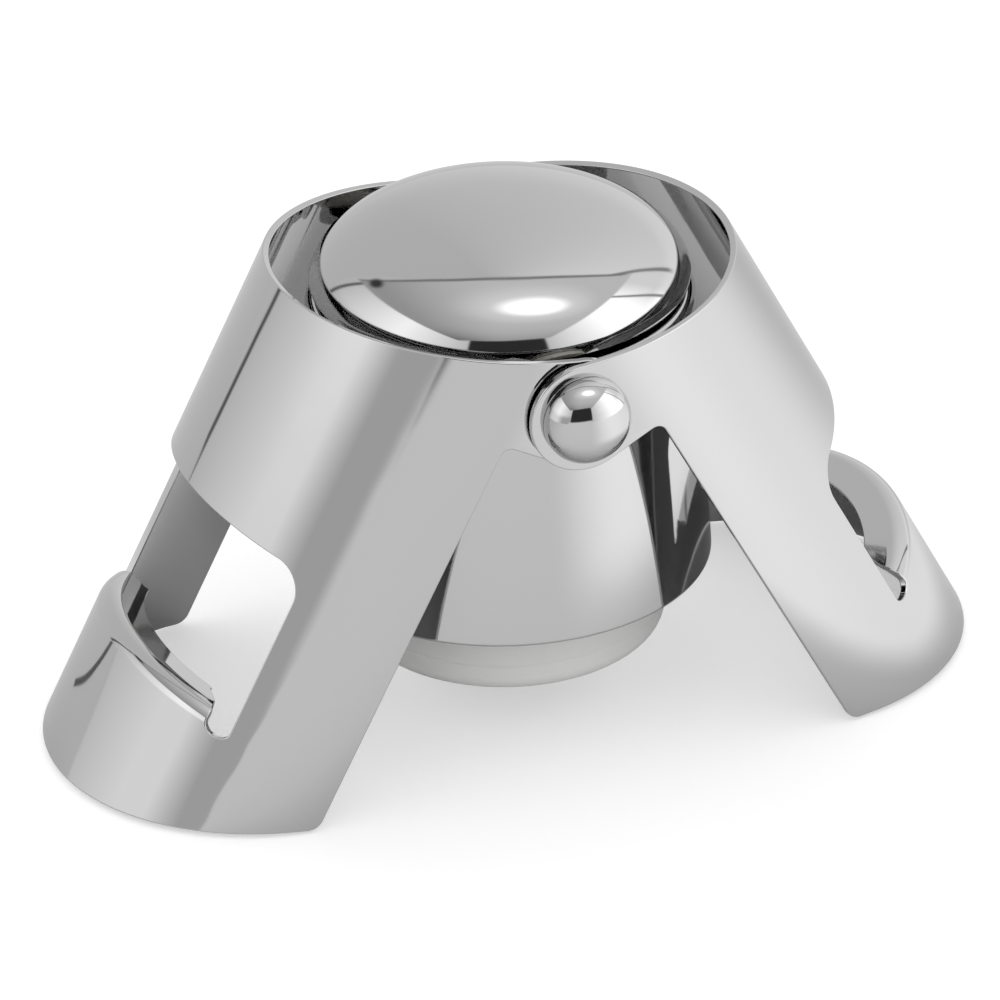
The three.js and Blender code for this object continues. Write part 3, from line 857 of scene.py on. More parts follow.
def fold_and_wrap_tree():
    tree, given = shape_tree("fold_and_wrap", {
        "End depth": end_depth, "Half width": arm_half_width, "Cheek flat": CHEEK_FLAT,
        "Cheek length": CHEEK_FLAT + LUG_RADIUS + CHEEK_SPARE, "Fold start": fold_start,
        "Fold radius": LIP_BEND_RADIUS, "Sheet": SHEET})
    calc = calculator(tree)
    number = node(tree, "GeometryNodeInputIndex").outputs[0]
    # From -1 to 1 along the line, stretched so that both cheeks are long enough.
    reach = calc("ADD", calc("DIVIDE", given["Cheek length"], given["Half width"]), math.pi / 2)
    angle = calc("MULTIPLY", calc("SUBTRACT", calc("DIVIDE", number, U_STEPS / 2), 1.0), reach)
    bent = calc("MINIMUM", calc("MAXIMUM", angle, -math.pi / 2), math.pi / 2)
    past = calc("MULTIPLY", calc("ABSOLUTE", calc("SUBTRACT", angle, bent)), given["Half width"])
    x = calc("SUBTRACT", calc("ADD", given["Cheek flat"], calc("MULTIPLY", given["End depth"],
                                                               calc("COSINE", bent))), past)
    y = calc("MULTIPLY", given["Half width"], calc("SINE", bent))
    curve = bent_line(tree, U_STEPS, vector(tree, x, y, 0.0))
    whole = node(tree, "GeometryNodeCurveLength", {"Curve": curve}).outputs[0]

    given_place = node(tree, "GeometryNodeInputPosition").outputs[0]
    flat = node(tree, "ShaderNodeSeparateXYZ", {0: given_place}).outputs
    tongue = node(tree, "GeometryNodeInputNamedAttribute", {"Name": "tongue"}, data_type="FLOAT").outputs[0]
    middle = calc("SUBTRACT", given["Fold radius"], calc("MULTIPLY", given["Sheet"], 0.5))
    rise = calc("MULTIPLY", calc("MAXIMUM", calc("SUBTRACT", flat["Z"], given["Fold start"]), 0.0), tongue)
    turn = calc("MINIMUM", calc("DIVIDE", rise, middle), math.pi / 2)
    rest = calc("SUBTRACT", rise, calc("MULTIPLY", turn, middle))
    arm = calc("SUBTRACT", given["Fold radius"], flat["Y"])
    folded_depth = calc("ADD", calc("SUBTRACT", given["Fold radius"],
                                    calc("MULTIPLY", arm, calc("COSINE", turn))), rest)
    folded_height = calc("ADD", given["Fold start"], calc("MULTIPLY", arm, calc("SINE", turn)))
    on = calc("GREATER_THAN", rise, 0.0)
    depth = calc("ADD", flat["Y"], calc("MULTIPLY", on, calc("SUBTRACT", folded_depth, flat["Y"])))
    height = calc("ADD", flat["Z"], calc("MULTIPLY", on, calc("SUBTRACT", folded_height, flat["Z"])))

    along = calc("ADD", calc("MULTIPLY", whole, 0.5), flat["X"])
    sample = node(tree, "GeometryNodeSampleCurve", {"Curves": curve, "Length": along}, mode="LENGTH",
                  use_all_curves=True)
    tangent = sample.outputs["Tangent"]
    outward = node(tree, "ShaderNodeVectorMath", {0: tangent, 1: (0.0, 0.0, 1.0)},
                   operation="CROSS_PRODUCT").outputs[0]
    outward = node(tree, "ShaderNodeVectorMath", {0: outward}, operation="NORMALIZE").outputs[0]
    inward = node(tree, "ShaderNodeVectorMath", {0: outward, "Scale": calc("MULTIPLY", depth, -1.0)},
                  operation="SCALE").outputs[0]
    on_curve = node(tree, "ShaderNodeVectorMath", {0: sample.outputs["Position"], 1: inward},
                    operation="ADD").outputs[0]
    placed = node(tree, "ShaderNodeVectorMath", {0: on_curve, 1: vector(tree, 0.0, 0.0, height)},
                  operation="ADD").outputs[0]

    stored = given["Geometry"]
    for name, value, kind in (("outward", outward, "FLOAT_VECTOR"), ("turn", turn, "FLOAT")):
        keep = node(tree, "GeometryNodeStoreNamedAttribute",
                    {"Geometry": stored, "Name": name, "Value": value}, data_type=kind, domain="POINT")
        stored = keep.outputs[0]
    moved = node(tree, "GeometryNodeSetPosition", {"Geometry": stored, "Position": placed})
    return end_tree(tree, moved.outputs[0], given["Material"])


def run_tree(made, tree, **values):
    """Gives the object the tree with the named inputs, and returns the plain mesh that comes out."""
    modifier = made.modifiers.new("shape", "NODES")
    modifier.node_group = tree
    for item in tree.interface.items_tree:
        if item.item_type == "SOCKET" and item.in_out == "INPUT" and item.name in values:
            modifier[item.identifier] = values[item.name]
    bpy.context.view_layer.update()
    depsgraph = bpy.context.evaluated_depsgraph_get()
    mesh = bpy.data.meshes.new_from_object(made.evaluated_get(depsgraph), depsgraph=depsgraph)
    made.modifiers.clear()
    return mesh


wrap_tree = fold_and_wrap_tree()
print("tree with", len(wrap_tree.nodes), "nodes")

# %% Wrap the blank


def wrapped_arm():
    """The finished arm in its own frame: x outward, z up along the arm, the hinge at the origin."""
    mesh = bpy.data.meshes.new("blank")
    mesh.from_pydata(blank_vertices, [], blank_faces)
    tongue = mesh.attributes.new("tongue", "FLOAT", "POINT")
    root = length_at_y(WINDOW_HALF_WIDTH - NOTCH_WIDTH / 2)
    tongue.data.foreach_set("value", [float(abs(v[0]) < root and v[2] < (WINDOW_TOP + LIP_TOP) / 2)
                                      for v in blank_vertices])
    blank = add_object("blank", mesh)
    bent = run_tree(blank, wrap_tree, Material=chrome)
    bpy.data.objects.remove(blank)
    count = len(bent.vertices)
    places = np.zeros(count * 3)
    outward = np.zeros(count * 3)
    turn = np.zeros(count)
    bent.vertices.foreach_get("co", places)
    bent.attributes["outward"].data.foreach_get("vector", outward)
    bent.attributes["turn"].data.foreach_get("value", turn)
    outward = outward.reshape(-1, 3)
    upward = np.array([0.0, 0.0, 1.0])
    # The tangent runs anticlockwise round the U, so outward, tangent and up make a right-handed frame.
    tangent = np.cross(upward, outward)
    cos = np.cos(turn)[:, None]
    sin = np.sin(turn)[:, None]
    out_axis = cos * outward + sin * upward
    up_axis = -sin * outward + cos * upward
    corners = np.array([v for face in blank_faces for v in face])
    flat = np.array([tuple(n) for n in blank_normals])
    normals = (tangent[corners] * flat[:, :1] - out_axis[corners] * flat[:, 1:2]
               + up_axis[corners] * flat[:, 2:])
    return places.reshape(-1, 3), normals


arm_places, arm_normals = wrapped_arm()


def place_arm(name, turn):
    """Stands the arm open on the hinge. The left arm is the same stamping, turned half round."""
    matrix = (Matrix.Rotation(turn, 4, "Z") @ at_hinge @ Matrix.Rotation(-OPEN_ANGLE, 4, "Y")
              @ Matrix.Translation((0, -lug_shift * MM, 0)) @ Matrix.Scale(MM, 4))
    swing = np.array(matrix.to_3x3().normalized())
    vertices = [matrix @ Vector(p) for p in arm_places]
    return mesh_object(name, vertices, blank_faces, arm_normals @ swing.T, chrome)


right_arm = place_arm("right_arm_stamping", 0)
left_arm = place_arm("left_arm_stamping", math.pi)
print("arms", len(right_arm.data.polygons), "faces each")

# %% [markdown]
# Rivets, washers and spacers
#
# The rivets have high domed heads, turned in one piece with their shanks. On each, a nylon spacer
# fills the taper between bell and lug, and a thin nylon washer keeps the two lugs from scraping.

# %% Hinge stack
SPACER_RADIUS = 3.4
LUG_WASHER_RADIUS = 4.2
LUG_WASHER_THICKNESS = 0.3
SEAT_CLEARANCE = 0.1
TAIL_RADIUS = 2.3
TAIL_THICKNESS = 0.8
TAIL_WASHER_RADIUS = 2.5
TAIL_WASHER_THICKNESS = 0.4
RIVET_CLEARANCE = 0.08
RIVET_HEAD_RIM = 0.28
RIVET_HEAD_EDGE, RIVET_TAIL_EDGE = 0.12, 0.3
RIVET_HEAD_POINTS = 40
SPACER_GAP = 0.05
rivet_hole = RIVET_RADIUS + RIVET_CLEARANCE

tail_wall = bell_radius(TAIL_WASHER_RADIUS) - BELL_WALL
tail_seat = math.sqrt(tail_wall ** 2 - TAIL_WASHER_RADIUS ** 2) - SEAT_CLEARANCE


def make_rivet(name, side):
    base = outer_lug_outside + RIVET_HEAD_GAP
    tail_top = tail_seat - TAIL_WASHER_THICKNESS

    def dome(share):
        angle = math.pi / 2 * share
        return (RIVET_HEAD_RADIUS * math.cos(angle) if share < 1 else 0.0,
                base + RIVET_HEAD_RIM + (RIVET_HEAD_HEIGHT - RIVET_HEAD_RIM) * math.sin(angle))

    low = tail_top - TAIL_THICKNESS
    corners = rounded([(0, low, 0), (TAIL_RADIUS, low, RIVET_TAIL_EDGE), (TAIL_RADIUS, tail_top, 0.1),
                       (RIVET_RADIUS, tail_top, 0), (RIVET_RADIUS, base, 0),
                       (RIVET_HEAD_RADIUS, base, RIVET_HEAD_EDGE),
                       (RIVET_HEAD_RADIUS, base + RIVET_HEAD_RIM, 0)], 4)
    head = curve_points(dome, RIVET_HEAD_POINTS)
    start = [(Vector((0, low)), Vector((0, -1)))]
    end = [(Vector((0, base + RIVET_HEAD_HEIGHT)), Vector((0, 1)))]
    body = [entry for entry in corners if entry[0].x > SAME_PLACE_MM][:-1]
    return turned(name, start + body + head[:-1] + end, chrome, on_rivet(side), RIVET_SEGMENTS)


def make_spacer(name, side):
    """A nylon bush whose inner end follows the bell's taper."""
    top = arm_half_width - SHEET - lug_shift - SPACER_GAP
    bush = washer(name, rivet_hole, SPACER_RADIUS, 0, 1, nylon, Matrix.Identity(4), 0.1)
    matrix = on_rivet(side)
    for vertex in bush.data.vertices:
        x, y, share = (c / MM for c in vertex.co)
        seat = math.sqrt((bell_radius(side * y) + SEAT_CLEARANCE) ** 2 - x * x)
        vertex.co = matrix @ Vector((x * MM, y * MM, (seat + (top - seat) * share) * MM))
    return bush


stack = {}
washer_low = arm_half_width - lug_shift + (LUG_GAP - LUG_WASHER_THICKNESS) / 2
for end, side in (("front", -1), ("back", 1)):
    stack[f"{end}_rivet"] = make_rivet(f"{end}_rivet_turned", side)
    stack[f"{end}_spacer"] = make_spacer(f"{end}_spacer_bush", side)
    for kind, radius, low, high, material in (
            ("lug_washer", LUG_WASHER_RADIUS, washer_low, washer_low + LUG_WASHER_THICKNESS, nylon),
            ("tail_washer", TAIL_WASHER_RADIUS, tail_seat - TAIL_WASHER_THICKNESS, tail_seat, steel)):
        stack[f"{end}_{kind}"] = washer(f"{end}_{kind}_ring", rivet_hole, radius, low, high, material,
                                        on_rivet(side))
print("hinge pieces", len(stack))

# %% [markdown]
# The seal and what shows from below
#
# The seal is a moulded ring with a soft lower edge and a drawn-in waist. A fine parting line runs
# round it where the mould's halves met. In its recess a washer and a screw hold it to the plunger.

# %% Seal, washer and sleeve
PARTING_LINE_DEPTH = 0.05
PARTING_LINE_HALF_WIDTH = 0.1
PARTING_LINE_ABOVE_ROUND = 1.2
PLUNGER_SEAT_GAP = 0.05
BOSS_CLEARANCE = 0.2
sleeve_bottom = bell_mouth + SLEEVE_BOTTOM_ABOVE_MOUTH
sleeve_lip_top = sleeve_bottom + SLEEVE_LIP_THICKNESS
seal_top = sleeve_lip_top + PLUNGER_SEAT_GAP
seal_bottom = seal_top - SEAL_HEIGHT
seal_recess_top = seal_bottom + SEAL_RECESS_DEPTH
BOSS_RADIUS = 5.0
SEAL_WASHER_RADIUS = 6.0
SEAL_WASHER_THICKNESS = 0.8
SEAL_WASHER_BORE = 1.6


def make_seal():
    neck = SEAL_RADIUS - SEAL_NECK_INSET
    shoulder = seal_top - SEAL_NECK_HEIGHT
    waist = SEAL_RADIUS - SEAL_WAIST_INSET
    line = seal_bottom + SEAL_ROUND + PARTING_LINE_ABOVE_ROUND
    bore = BOSS_RADIUS + BOSS_CLEARANCE
    return turned("seal_ring", rounded([
        (bore, seal_recess_top, 0.2),
        (SEAL_RECESS_RADIUS, seal_recess_top, 0.3),
        (SEAL_RECESS_RADIUS, seal_bottom, 0.5),
        (SEAL_RADIUS, seal_bottom, SEAL_ROUND),
        (SEAL_RADIUS, line - PARTING_LINE_HALF_WIDTH, 0),
        (SEAL_RADIUS - PARTING_LINE_DEPTH, line, 0),
        (SEAL_RADIUS, line + PARTING_LINE_HALF_WIDTH, 0),
        (SEAL_RADIUS, shoulder, SEAL_WAIST_INSET * 0.9),
        (waist, shoulder, 0.5),
        (neck, seal_top, 0.3),
        (bore, seal_top, 0.2),
    ], steps=10), silicone, at_hinge, MIRROR_SEGMENTS)


def make_sleeve():
    def outside(height):
        return bell_radius(height) - BELL_WALL - SLEEVE_CLEARANCE
    lip_bore = SEAL_RADIUS - SEAL_NECK_INSET + SEAL_CLEARANCE
    bore = lip_bore + SLEEVE_LIP_WIDTH
    return turned("guide_sleeve_moulding", rounded([
        (lip_bore, sleeve_bottom, 0.2), (outside(sleeve_bottom), sleeve_bottom, 0.2),
        (outside(SLEEVE_TOP), SLEEVE_TOP, 0.2), (bore, SLEEVE_TOP, 0.2),
        (bore, sleeve_lip_top, 0), (lip_bore, sleeve_lip_top, 0.2),
    ], 4), acetal, at_hinge, WIDE_SEGMENTS)


seal = make_seal()
sleeve = make_sleeve()
seal_washer = washer("seal_washer_disc", SEAL_WASHER_BORE, SEAL_WASHER_RADIUS,
                     seal_recess_top - SEAL_WASHER_THICKNESS, seal_recess_top, steel, at_hinge, 0.12)
print("seal bottom at", round(seal_bottom + hinge_height, 2), "mm above the table")

# %% [markdown]
# The spring
#
# A coil of hard steel wire with closed ends, so that it presses evenly on its seats. Geometry Nodes
# make it: a spiral whose pitch closes at both ends, with a round wire swept along it.

# %% Spring tree
SPRING_WIRE = 1.1
SPRING_RADIUS = 6.6
SPRING_TURNS = 7.0
SPRING_STEPS = 560
WIRE_SIDES = 14
CLOSED_SHARE = 0.14


def spring_tree():
    tree, given = shape_tree("coil_spring", {"Low": 0.0, "High": 1.0, "Radius": SPRING_RADIUS,
                                             "Wire": SPRING_WIRE, "Turns": SPRING_TURNS})
    calc = calculator(tree)
    share = calc("DIVIDE", node(tree, "GeometryNodeInputIndex").outputs[0], float(SPRING_STEPS))
    angle = calc("MULTIPLY", calc("MULTIPLY", share, given["Turns"]), 2 * math.pi)
    climb = node(tree, "ShaderNodeMapRange", {"Value": share, "From Min": CLOSED_SHARE,
                                              "From Max": 1 - CLOSED_SHARE}, interpolation_type="SMOOTHSTEP")
    height = calc("ADD", given["Low"], calc("MULTIPLY", climb.outputs["Result"],
                                            calc("SUBTRACT", given["High"], given["Low"])))
    place = vector(tree, calc("MULTIPLY", given["Radius"], calc("COSINE", angle)),
                   calc("MULTIPLY", given["Radius"], calc("SINE", angle)), height)
    section = node(tree, "GeometryNodeCurvePrimitiveCircle", {"Resolution": WIRE_SIDES,
                                                              "Radius": calc("MULTIPLY", given["Wire"], 0.5)})
    wire = node(tree, "GeometryNodeCurveToMesh", {"Curve": bent_line(tree, SPRING_STEPS, place),
                                                  "Profile Curve": section.outputs[0], "Fill Caps": True})
    smooth = node(tree, "GeometryNodeSetShadeSmooth", {"Geometry": wire.outputs[0]})
    return end_tree(tree, smooth.outputs[0], given["Material"])


def make_spring():
    lowest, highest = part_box("spring")
    half_wire = SPRING_WIRE / 2
    holder = add_object("spring_holder", bpy.data.meshes.new("spring_holder"))
    low = lowest.z / MM + half_wire
    high = highest.z / MM - half_wire
    mesh = run_tree(holder, spring_tree(), Low=low, High=high, Material=steel)
    bpy.data.objects.remove(holder)
    mesh.transform(Matrix.Scale(MM, 4))
    mesh.name = "spring_coil"
    return add_object("spring_coil", mesh)


spring = make_spring()
print("spring", len(spring.data.polygons), "faces")

# %% [markdown]
# Floor and background
#
# Chrome has no colour of its own, so the studio is what the eye sees on it. The photograph's
# background is pure white. A white paper floor keeps the object's shadow, and it is made white for
# the camera by a glow that only camera rays see, never by more light. Mirrors see a darker floor,
# with two brighter pools where the real paper caught the light. All directions in the studio are
# azimuths seen from the camera: 0 is straight behind the object, and 90 is on its right.

# %% Floor and world
FLOOR_SIZE = 6.0
FLOOR_BELOW = 0.0003
FLOOR_WHITE = 0.42
WORLD_WHITE = 1.0
# Pools of light on the floor: azimuth and half width in degrees, strength, and the distances in
# metres from the middle at which they start and are full, so that the floor under the object stays out
FLOOR_POOLS = ((172, 90, 0.2, 0.02, 0.052), (97, 62, 0.56, 0.046, 0.07))


def stage_object(name, vertices, faces, material):
    """A part of the studio: it lights the object but isn't a piece of it."""
    mesh = bpy.data.meshes.new(name)
    mesh.from_pydata(vertices, [], faces)
    mesh.materials.append(material)
    made = add_object(name, mesh)
    return made


def for_mirrors_alone(made):
    """Hides it from the camera, and lets it neither cast a shadow nor light a dull surface."""
    made.visible_camera = False
    made.visible_shadow = False
    made.visible_diffuse = False


def floor_pools(tree, calc):
    """How much brighter the floor looks in mirrors, as a socket."""
    place = node(tree, "ShaderNodeTexCoord").outputs["Object"]
    outward = node(tree, "ShaderNodeVectorMath", {0: place}, operation="NORMALIZE").outputs[0]
    reach = node(tree, "ShaderNodeVectorMath", {0: place}, operation="LENGTH").outputs["Value"]
    total = 0.0
    for azimuth, half_width, strength, start, full in FLOOR_POOLS:
        turn = CAMERA_TURN + math.radians(azimuth)
        towards = {0: outward, 1: (math.sin(turn), math.cos(turn), 0)}
        along = node(tree, "ShaderNodeVectorMath", towards, operation="DOT_PRODUCT").outputs["Value"]
        sector = node(tree, "ShaderNodeMapRange", {"Value": along, "To Max": strength,
                                                   "From Min": math.cos(math.radians(half_width))},
                      interpolation_type="SMOOTHSTEP")
        clear = node(tree, "ShaderNodeMapRange", {"Value": reach, "From Min": start, "From Max": full},
                     interpolation_type="SMOOTHSTEP")
        total = calc("ADD", total, calc("MULTIPLY", sector.outputs["Result"], clear.outputs["Result"]))
    return total


def make_floor():
    material, tree, shader = new_material("white_paper_floor", Roughness=0.9)
    calc = calculator(tree)
    shader.inputs["Base Color"].default_value = linear("#dadada")
    shader.inputs["Specular IOR Level"].default_value = 0.0
    path = node(tree, "ShaderNodeLightPath").outputs
    mirror = calc("MAXIMUM", path["Is Glossy Ray"], path["Is Transmission Ray"])
    glow = calc("ADD", calc("MULTIPLY", path["Is Camera Ray"], FLOOR_WHITE),
                calc("MULTIPLY", mirror, floor_pools(tree, calc)))
    shader.inputs["Emission Color"].default_value = (1, 1, 1, 1)
    tree.links.new(glow, shader.inputs["Emission Strength"])
    half = FLOOR_SIZE / 2
    corners = [(-half, -half, 0), (half, -half, 0), (half, half, 0), (-half, half, 0)]
    made = stage_object("floor", corners, [(0, 1, 2, 3)], material)
    made.location.z = -FLOOR_BELOW
    return made


def make_world():
    """Even white light from all round, which is also the background."""
    scene.world = bpy.data.worlds.new("studio")
    scene.world.use_nodes = True
    sky = scene.world.node_tree.nodes["Background"]
    sky.inputs["Color"].default_value = (1, 1, 1, 1)
    sky.inputs["Strength"].default_value = WORLD_WHITE


floor = make_floor()
make_world()
print("floor", floor.name, "with", len(FLOOR_POOLS), "pools of light")

# %% [markdown]
# The light tent
#
# Bright metal is photographed in a tent of white cloth with a slit for the camera, so that it
# mirrors nothing but soft light. The photograph's reflections tell how the tent stood: a back wall,
# brighter side walls, a ceiling sheet with a round lamp above it, dark seams where the cloths meet,
# and the black slit at the front. It could be built from area lamps, but their edges would be hard
# and their light would need balancing. Here it is one dome whose brightness is worked out for each
# direction from the cloth, its seams and the lamps behind it. It is seen in mirrors alone, and the
# even light of the world does the rest, so every colour keeps its plain level.

# %% Sizes and brightness of the tent
TENT_RADIUS = 1.5
TENT_STEP = 0.75
TENT_FOOT = -3.0
TENT_HEIGHT = 0.03
# The ceiling's sheet, in heights above the object: right and back of it, at its back and front ends
CEILING_BACK, CEILING_FRONT, CEILING_BOW = 0.23, -1.6, 0.33
CEILING_LEFT_BACK, CEILING_LEFT_FRONT = -1.16, -0.8
CEILING_RIGHT_BACK, CEILING_RIGHT_FRONT = 1.05, 0.9
SHEET_LIGHT, SHEET_RIGHT_GAIN, SHEET_FRONT_LOSS, SHEET_SEAM_LIGHT = 0.48, 0.34, 0.4, 0.27
LAMP_RIGHT, LAMP_BACK, LAMP_STRETCH = 0.26, -0.26, 1.5
LAMP_LIGHT, LAMP_EDGE = 1.1, (0.09, 0.24)
LAMP_HALO_LIGHT, LAMP_HALO_EDGE = 0.3, (0.12, 0.5)
# The cloth's own brightness, and what the lamps outside add to it near the floor and high up: the
# azimuths where a glow starts, is full, begins to fade and ends, and its strength. One lamp stands on
# each side, the right one spills on the back wall, and the flap left of the slit is in shade.
CLOTH_LIGHT = 0.72
LOW_GLOWS = ((-138, -120, -104, -57, 0.4), (-15, 66, 66, 72, 0.53), (66, 72, 113, 157, 1.08),
             (-181, -180, -138, -120, -0.15))
HIGH_GLOWS = ((-168, -119, -114, -55, 0.83), (-15, 60, 69, 91, 0.36), (69, 91, 112, 158, 1.18))
LOW_WALL_TOP, HIGH_WALL_FOOT = 9, 20
# Dark seams up the walls: azimuth at the floor, its lean with height, brightness, half width, where
# the seam's soft edge ends, and the heights between which the seam appears
WALL_SEAMS = ((-57.5, -0.15, 0.12, 0.7, 1.8, -9, -8), (48, 0.27, 0.33, 0.6, 2.2, 5, 15),
              (66, 0.5, 0.35, 0.6, 2.0, -9, -8))
SLIT_LEFT, SLIT_RIGHT = -160.5, 153.5
SLIT_FOOT, SLIT_TOP = 2.5, 32.0
SLIT_LIGHT, SILL_LIGHT = 0.04, 0.9
# The dark corner where the left wall, the back wall and the ceiling meet
CORNER_AZIMUTH, CORNER_HEIGHT, CORNER_LIGHT = -64, 43, 0.05
# Strip of painted shade along the seam on the floor: right and back of the object, half widths and height, in
# metres
SEAM_NEAR, SEAM_FAR = (-0.062, 0.012), (-0.9, 0.5)
SEAM_NEAR_WIDTH, SEAM_FAR_WIDTH, SEAM_ABOVE = 0.0008, 0.012, 0.0001
print("glows on the walls:", len(LOW_GLOWS), "low and", len(HIGH_GLOWS), "high")

# %% Light from each direction


def ramp(value, start, end):
    """Goes smoothly from 0 at the start to 1 at the end."""
    share = np.clip((value - start) / (end - start), 0, 1)
    return share * share * (3 - 2 * share)


def blend(first, second, share):
    return first * (1 - share) + second * share


def glowing_cloth(azimuth, glows):
    return CLOTH_LIGHT + sum(strength * np.interp(azimuth, span, (0, 1, 1, 0)) for *span, strength in glows)


def wall_light(azimuth, elevation):
    light = blend(glowing_cloth(azimuth, LOW_GLOWS), glowing_cloth(azimuth, HIGH_GLOWS),
                  ramp(elevation, LOW_WALL_TOP, HIGH_WALL_FOOT))
    for foot, lean, tone, core, edge, first, full in WALL_SEAMS:
        away = np.abs(azimuth - foot - lean * elevation)
        light = blend(light, tone, ramp(elevation, first, full) * (1 - ramp(away, core, edge)))
    sill = (1 - ramp(elevation, 1, 5)) * ramp(np.abs(azimuth), 152, 160)
    light = blend(light, SILL_LIGHT, sill)
    opening = np.maximum(ramp(-azimuth, -SLIT_LEFT - 1, -SLIT_LEFT + 1),
                         ramp(azimuth, SLIT_RIGHT - 1, SLIT_RIGHT + 1))
    opening *= ramp(elevation, SLIT_FOOT - 1.5, SLIT_FOOT + 1.5) * ramp(SLIT_TOP - elevation, -1, 2)
    return blend(light, SLIT_LIGHT, opening)


def ceiling_light(right, back):
    """The sheet is darker to the left and towards the front, and the lamp shines through it."""
    sheet = SHEET_LIGHT + SHEET_RIGHT_GAIN * ramp(right, -1.0, 0.1) - SHEET_FRONT_LOSS * ramp(-back, 0.5, 2.2)
    reach = np.hypot((right - LAMP_RIGHT) / LAMP_STRETCH, back - LAMP_BACK)
    return (sheet + LAMP_LIGHT * (1 - ramp(reach, *LAMP_EDGE))
            + LAMP_HALO_LIGHT * (1 - ramp(reach, *LAMP_HALO_EDGE)))


def tent_light(azimuth, elevation):
    """Brightness of the tent in a direction given in degrees."""
    turn = np.radians(azimuth)
    reach = 1 / np.tan(np.radians(np.clip(elevation, 6, 89.9)))
    right, back = reach * np.sin(turn), reach * np.cos(turn)
    along = (back - CEILING_FRONT) / (CEILING_BACK - CEILING_FRONT)
    back_edge = CEILING_BACK + CEILING_BOW * right * right
    left_side = blend(CEILING_LEFT_FRONT, CEILING_LEFT_BACK, along)
    right_side = blend(CEILING_RIGHT_FRONT, CEILING_RIGHT_BACK, along)
    inside_sheet = ramp(right - left_side, -0.02, 0.02) * ramp(right_side - right, -0.02, 0.02)
    inside_sheet *= ramp(back_edge - back, -0.01, 0.01) * ramp(back - CEILING_FRONT, -0.1, 0.1)
    light = blend(wall_light(azimuth, elevation), ceiling_light(right, back), inside_sheet)
    seam = 1 - ramp(np.abs(back - back_edge), 0.01, 0.03)
    seam *= ramp(right - left_side, -0.05, 0) * ramp(right_side - right, 0, 0.2)
    light = blend(light, SHEET_SEAM_LIGHT, seam)
    corner = np.hypot((azimuth - CORNER_AZIMUTH) * np.cos(np.radians(elevation)), elevation - CORNER_HEIGHT)
    return blend(CORNER_LIGHT, light, ramp(corner, 2, 5))


print("brightness overhead", round(float(tent_light(0.0, 89.9)), 2))

# %% Tent and the painted shade along the seam in the paper


def tent_cloth():
    """Cloth that glows with the brightness that each point of the dome carries."""
    material = bpy.data.materials.new("translucent_tent_cloth")
    material.use_nodes = True
    material.cycles.emission_sampling = "NONE"
    tree = material.node_tree
    tree.nodes.clear()
    strength = node(tree, "ShaderNodeAttribute", attribute_name="light").outputs["Fac"]
    glow = node(tree, "ShaderNodeEmission", {"Color": (1, 1, 1, 1), "Strength": strength})
    node(tree, "ShaderNodeOutputMaterial", {"Surface": glow.outputs[0]})
    return material


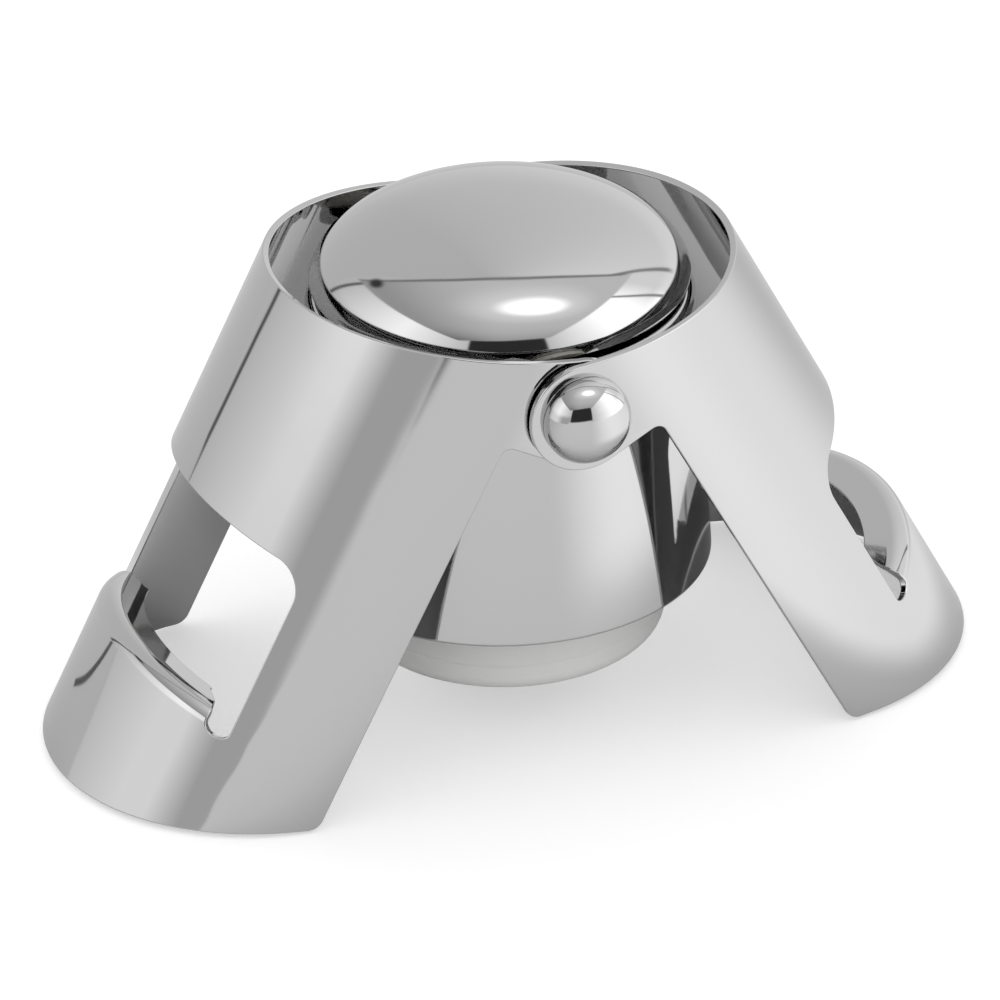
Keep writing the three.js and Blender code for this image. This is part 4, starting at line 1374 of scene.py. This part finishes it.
def make_tent():
    columns = round(360 / TENT_STEP)
    rows = round((90 - TENT_FOOT) / TENT_STEP)
    azimuths, elevations = np.meshgrid(np.arange(columns) * TENT_STEP - 180,
                                       TENT_FOOT + np.arange(rows) * TENT_STEP)
    azimuths, elevations = azimuths.ravel(), elevations.ravel()
    turn, rise = CAMERA_TURN + np.radians(azimuths), np.radians(elevations)
    ways = np.stack([np.sin(turn) * np.cos(rise), np.cos(turn) * np.cos(rise), np.sin(rise)], 1)
    points = np.vstack([TENT_RADIUS * ways, (0, 0, TENT_RADIUS)])
    light = np.append(tent_light(azimuths, elevations), tent_light(np.array([0.0]), np.array([89.9])))
    around = [(column, (column + 1) % columns) for column in range(columns)]
    faces = [(row * columns + this, (row + 1) * columns + this, (row + 1) * columns + after,
              row * columns + after) for row in range(rows - 1) for this, after in around]
    last = (rows - 1) * columns
    faces += [(last + this, len(points) - 1, last + after) for this, after in around]
    made = stage_object("light_tent", points.tolist(), faces, tent_cloth())
    made.data.attributes.new("light", "FLOAT", "POINT").data.foreach_set("value", light)
    made.location.z = TENT_HEIGHT
    for_mirrors_alone(made)
    return made


def make_painted_seam_shade():
    """A grey strip of painted shade along the seam that runs over the floor from the left corner of the back
    wall.
    """
    near, far = Vector(SEAM_NEAR), Vector(SEAM_FAR)
    side = (far - near).normalized()
    side = Vector((-side.y, side.x))
    across = [near - side * SEAM_NEAR_WIDTH, near + side * SEAM_NEAR_WIDTH,
              far + side * SEAM_FAR_WIDTH, far - side * SEAM_FAR_WIDTH]
    to_world = Matrix.Rotation(-CAMERA_TURN, 3, "Z")
    corners = [to_world @ Vector((place.x, place.y, SEAM_ABOVE)) for place in across]
    material, _, shader = new_material("shaded_paper_seam", Roughness=0.9)
    # the dark grey is painted shade along the seam, seen in mirrors alone
    shader.inputs["Base Color"].default_value = linear("#4a4a4a")
    made = stage_object("painted_seam_shade_strip", corners, [(0, 1, 2, 3)], material)
    for_mirrors_alone(made)
    return made


tent = make_tent()
painted_seam_shade_strip = make_painted_seam_shade()
print("tent of", len(tent.data.polygons), "faces, and", painted_seam_shade_strip.name)

# %% [markdown]
# Dressing the frame
#
# Each new piece rides on the moving body of the CAD node that it stands for. The nodes that stay,
# such as the plunger and the screws, get their finish on their own slots.

# %% Ride and replace, and give the kept nodes their materials
dressed = {
    "bell": (bell, "bell_body", "chrome"),
    "cap": (cap, "bell_body", "chrome"),
    "cap_gasket": (gasket, "bell_body", "gasket"),
    "right_arm": (right_arm, "right_arm_body", "chrome"),
    "left_arm": (left_arm, "left_arm_body", "chrome"),
    "seal": (seal, "seal_carrier", "silicone"),
    "seal_washer": (seal_washer, "seal_carrier", "steel"),
    "guide_sleeve": (sleeve, "bell_body", "plastic"),
    "spring": (spring, "bell_body", "steel"),
}
for name, piece in stack.items():
    dressed[name] = (piece, "bell_body", "chrome" if name.endswith("rivet") else
                     "steel" if "tail" in name else "nylon")
for name, (piece, body, finish) in dressed.items():
    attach(piece, body)
    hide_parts(name)

kept_nodes = {"plunger": acetal, "cap_screw": steel, "screw_washer": steel, "seal_screw": steel}
for name, material in kept_nodes.items():
    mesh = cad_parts[name].data
    mesh.materials.clear()
    mesh.materials.append(material)

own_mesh(spring)
print("dressed", len(dressed), "nodes")
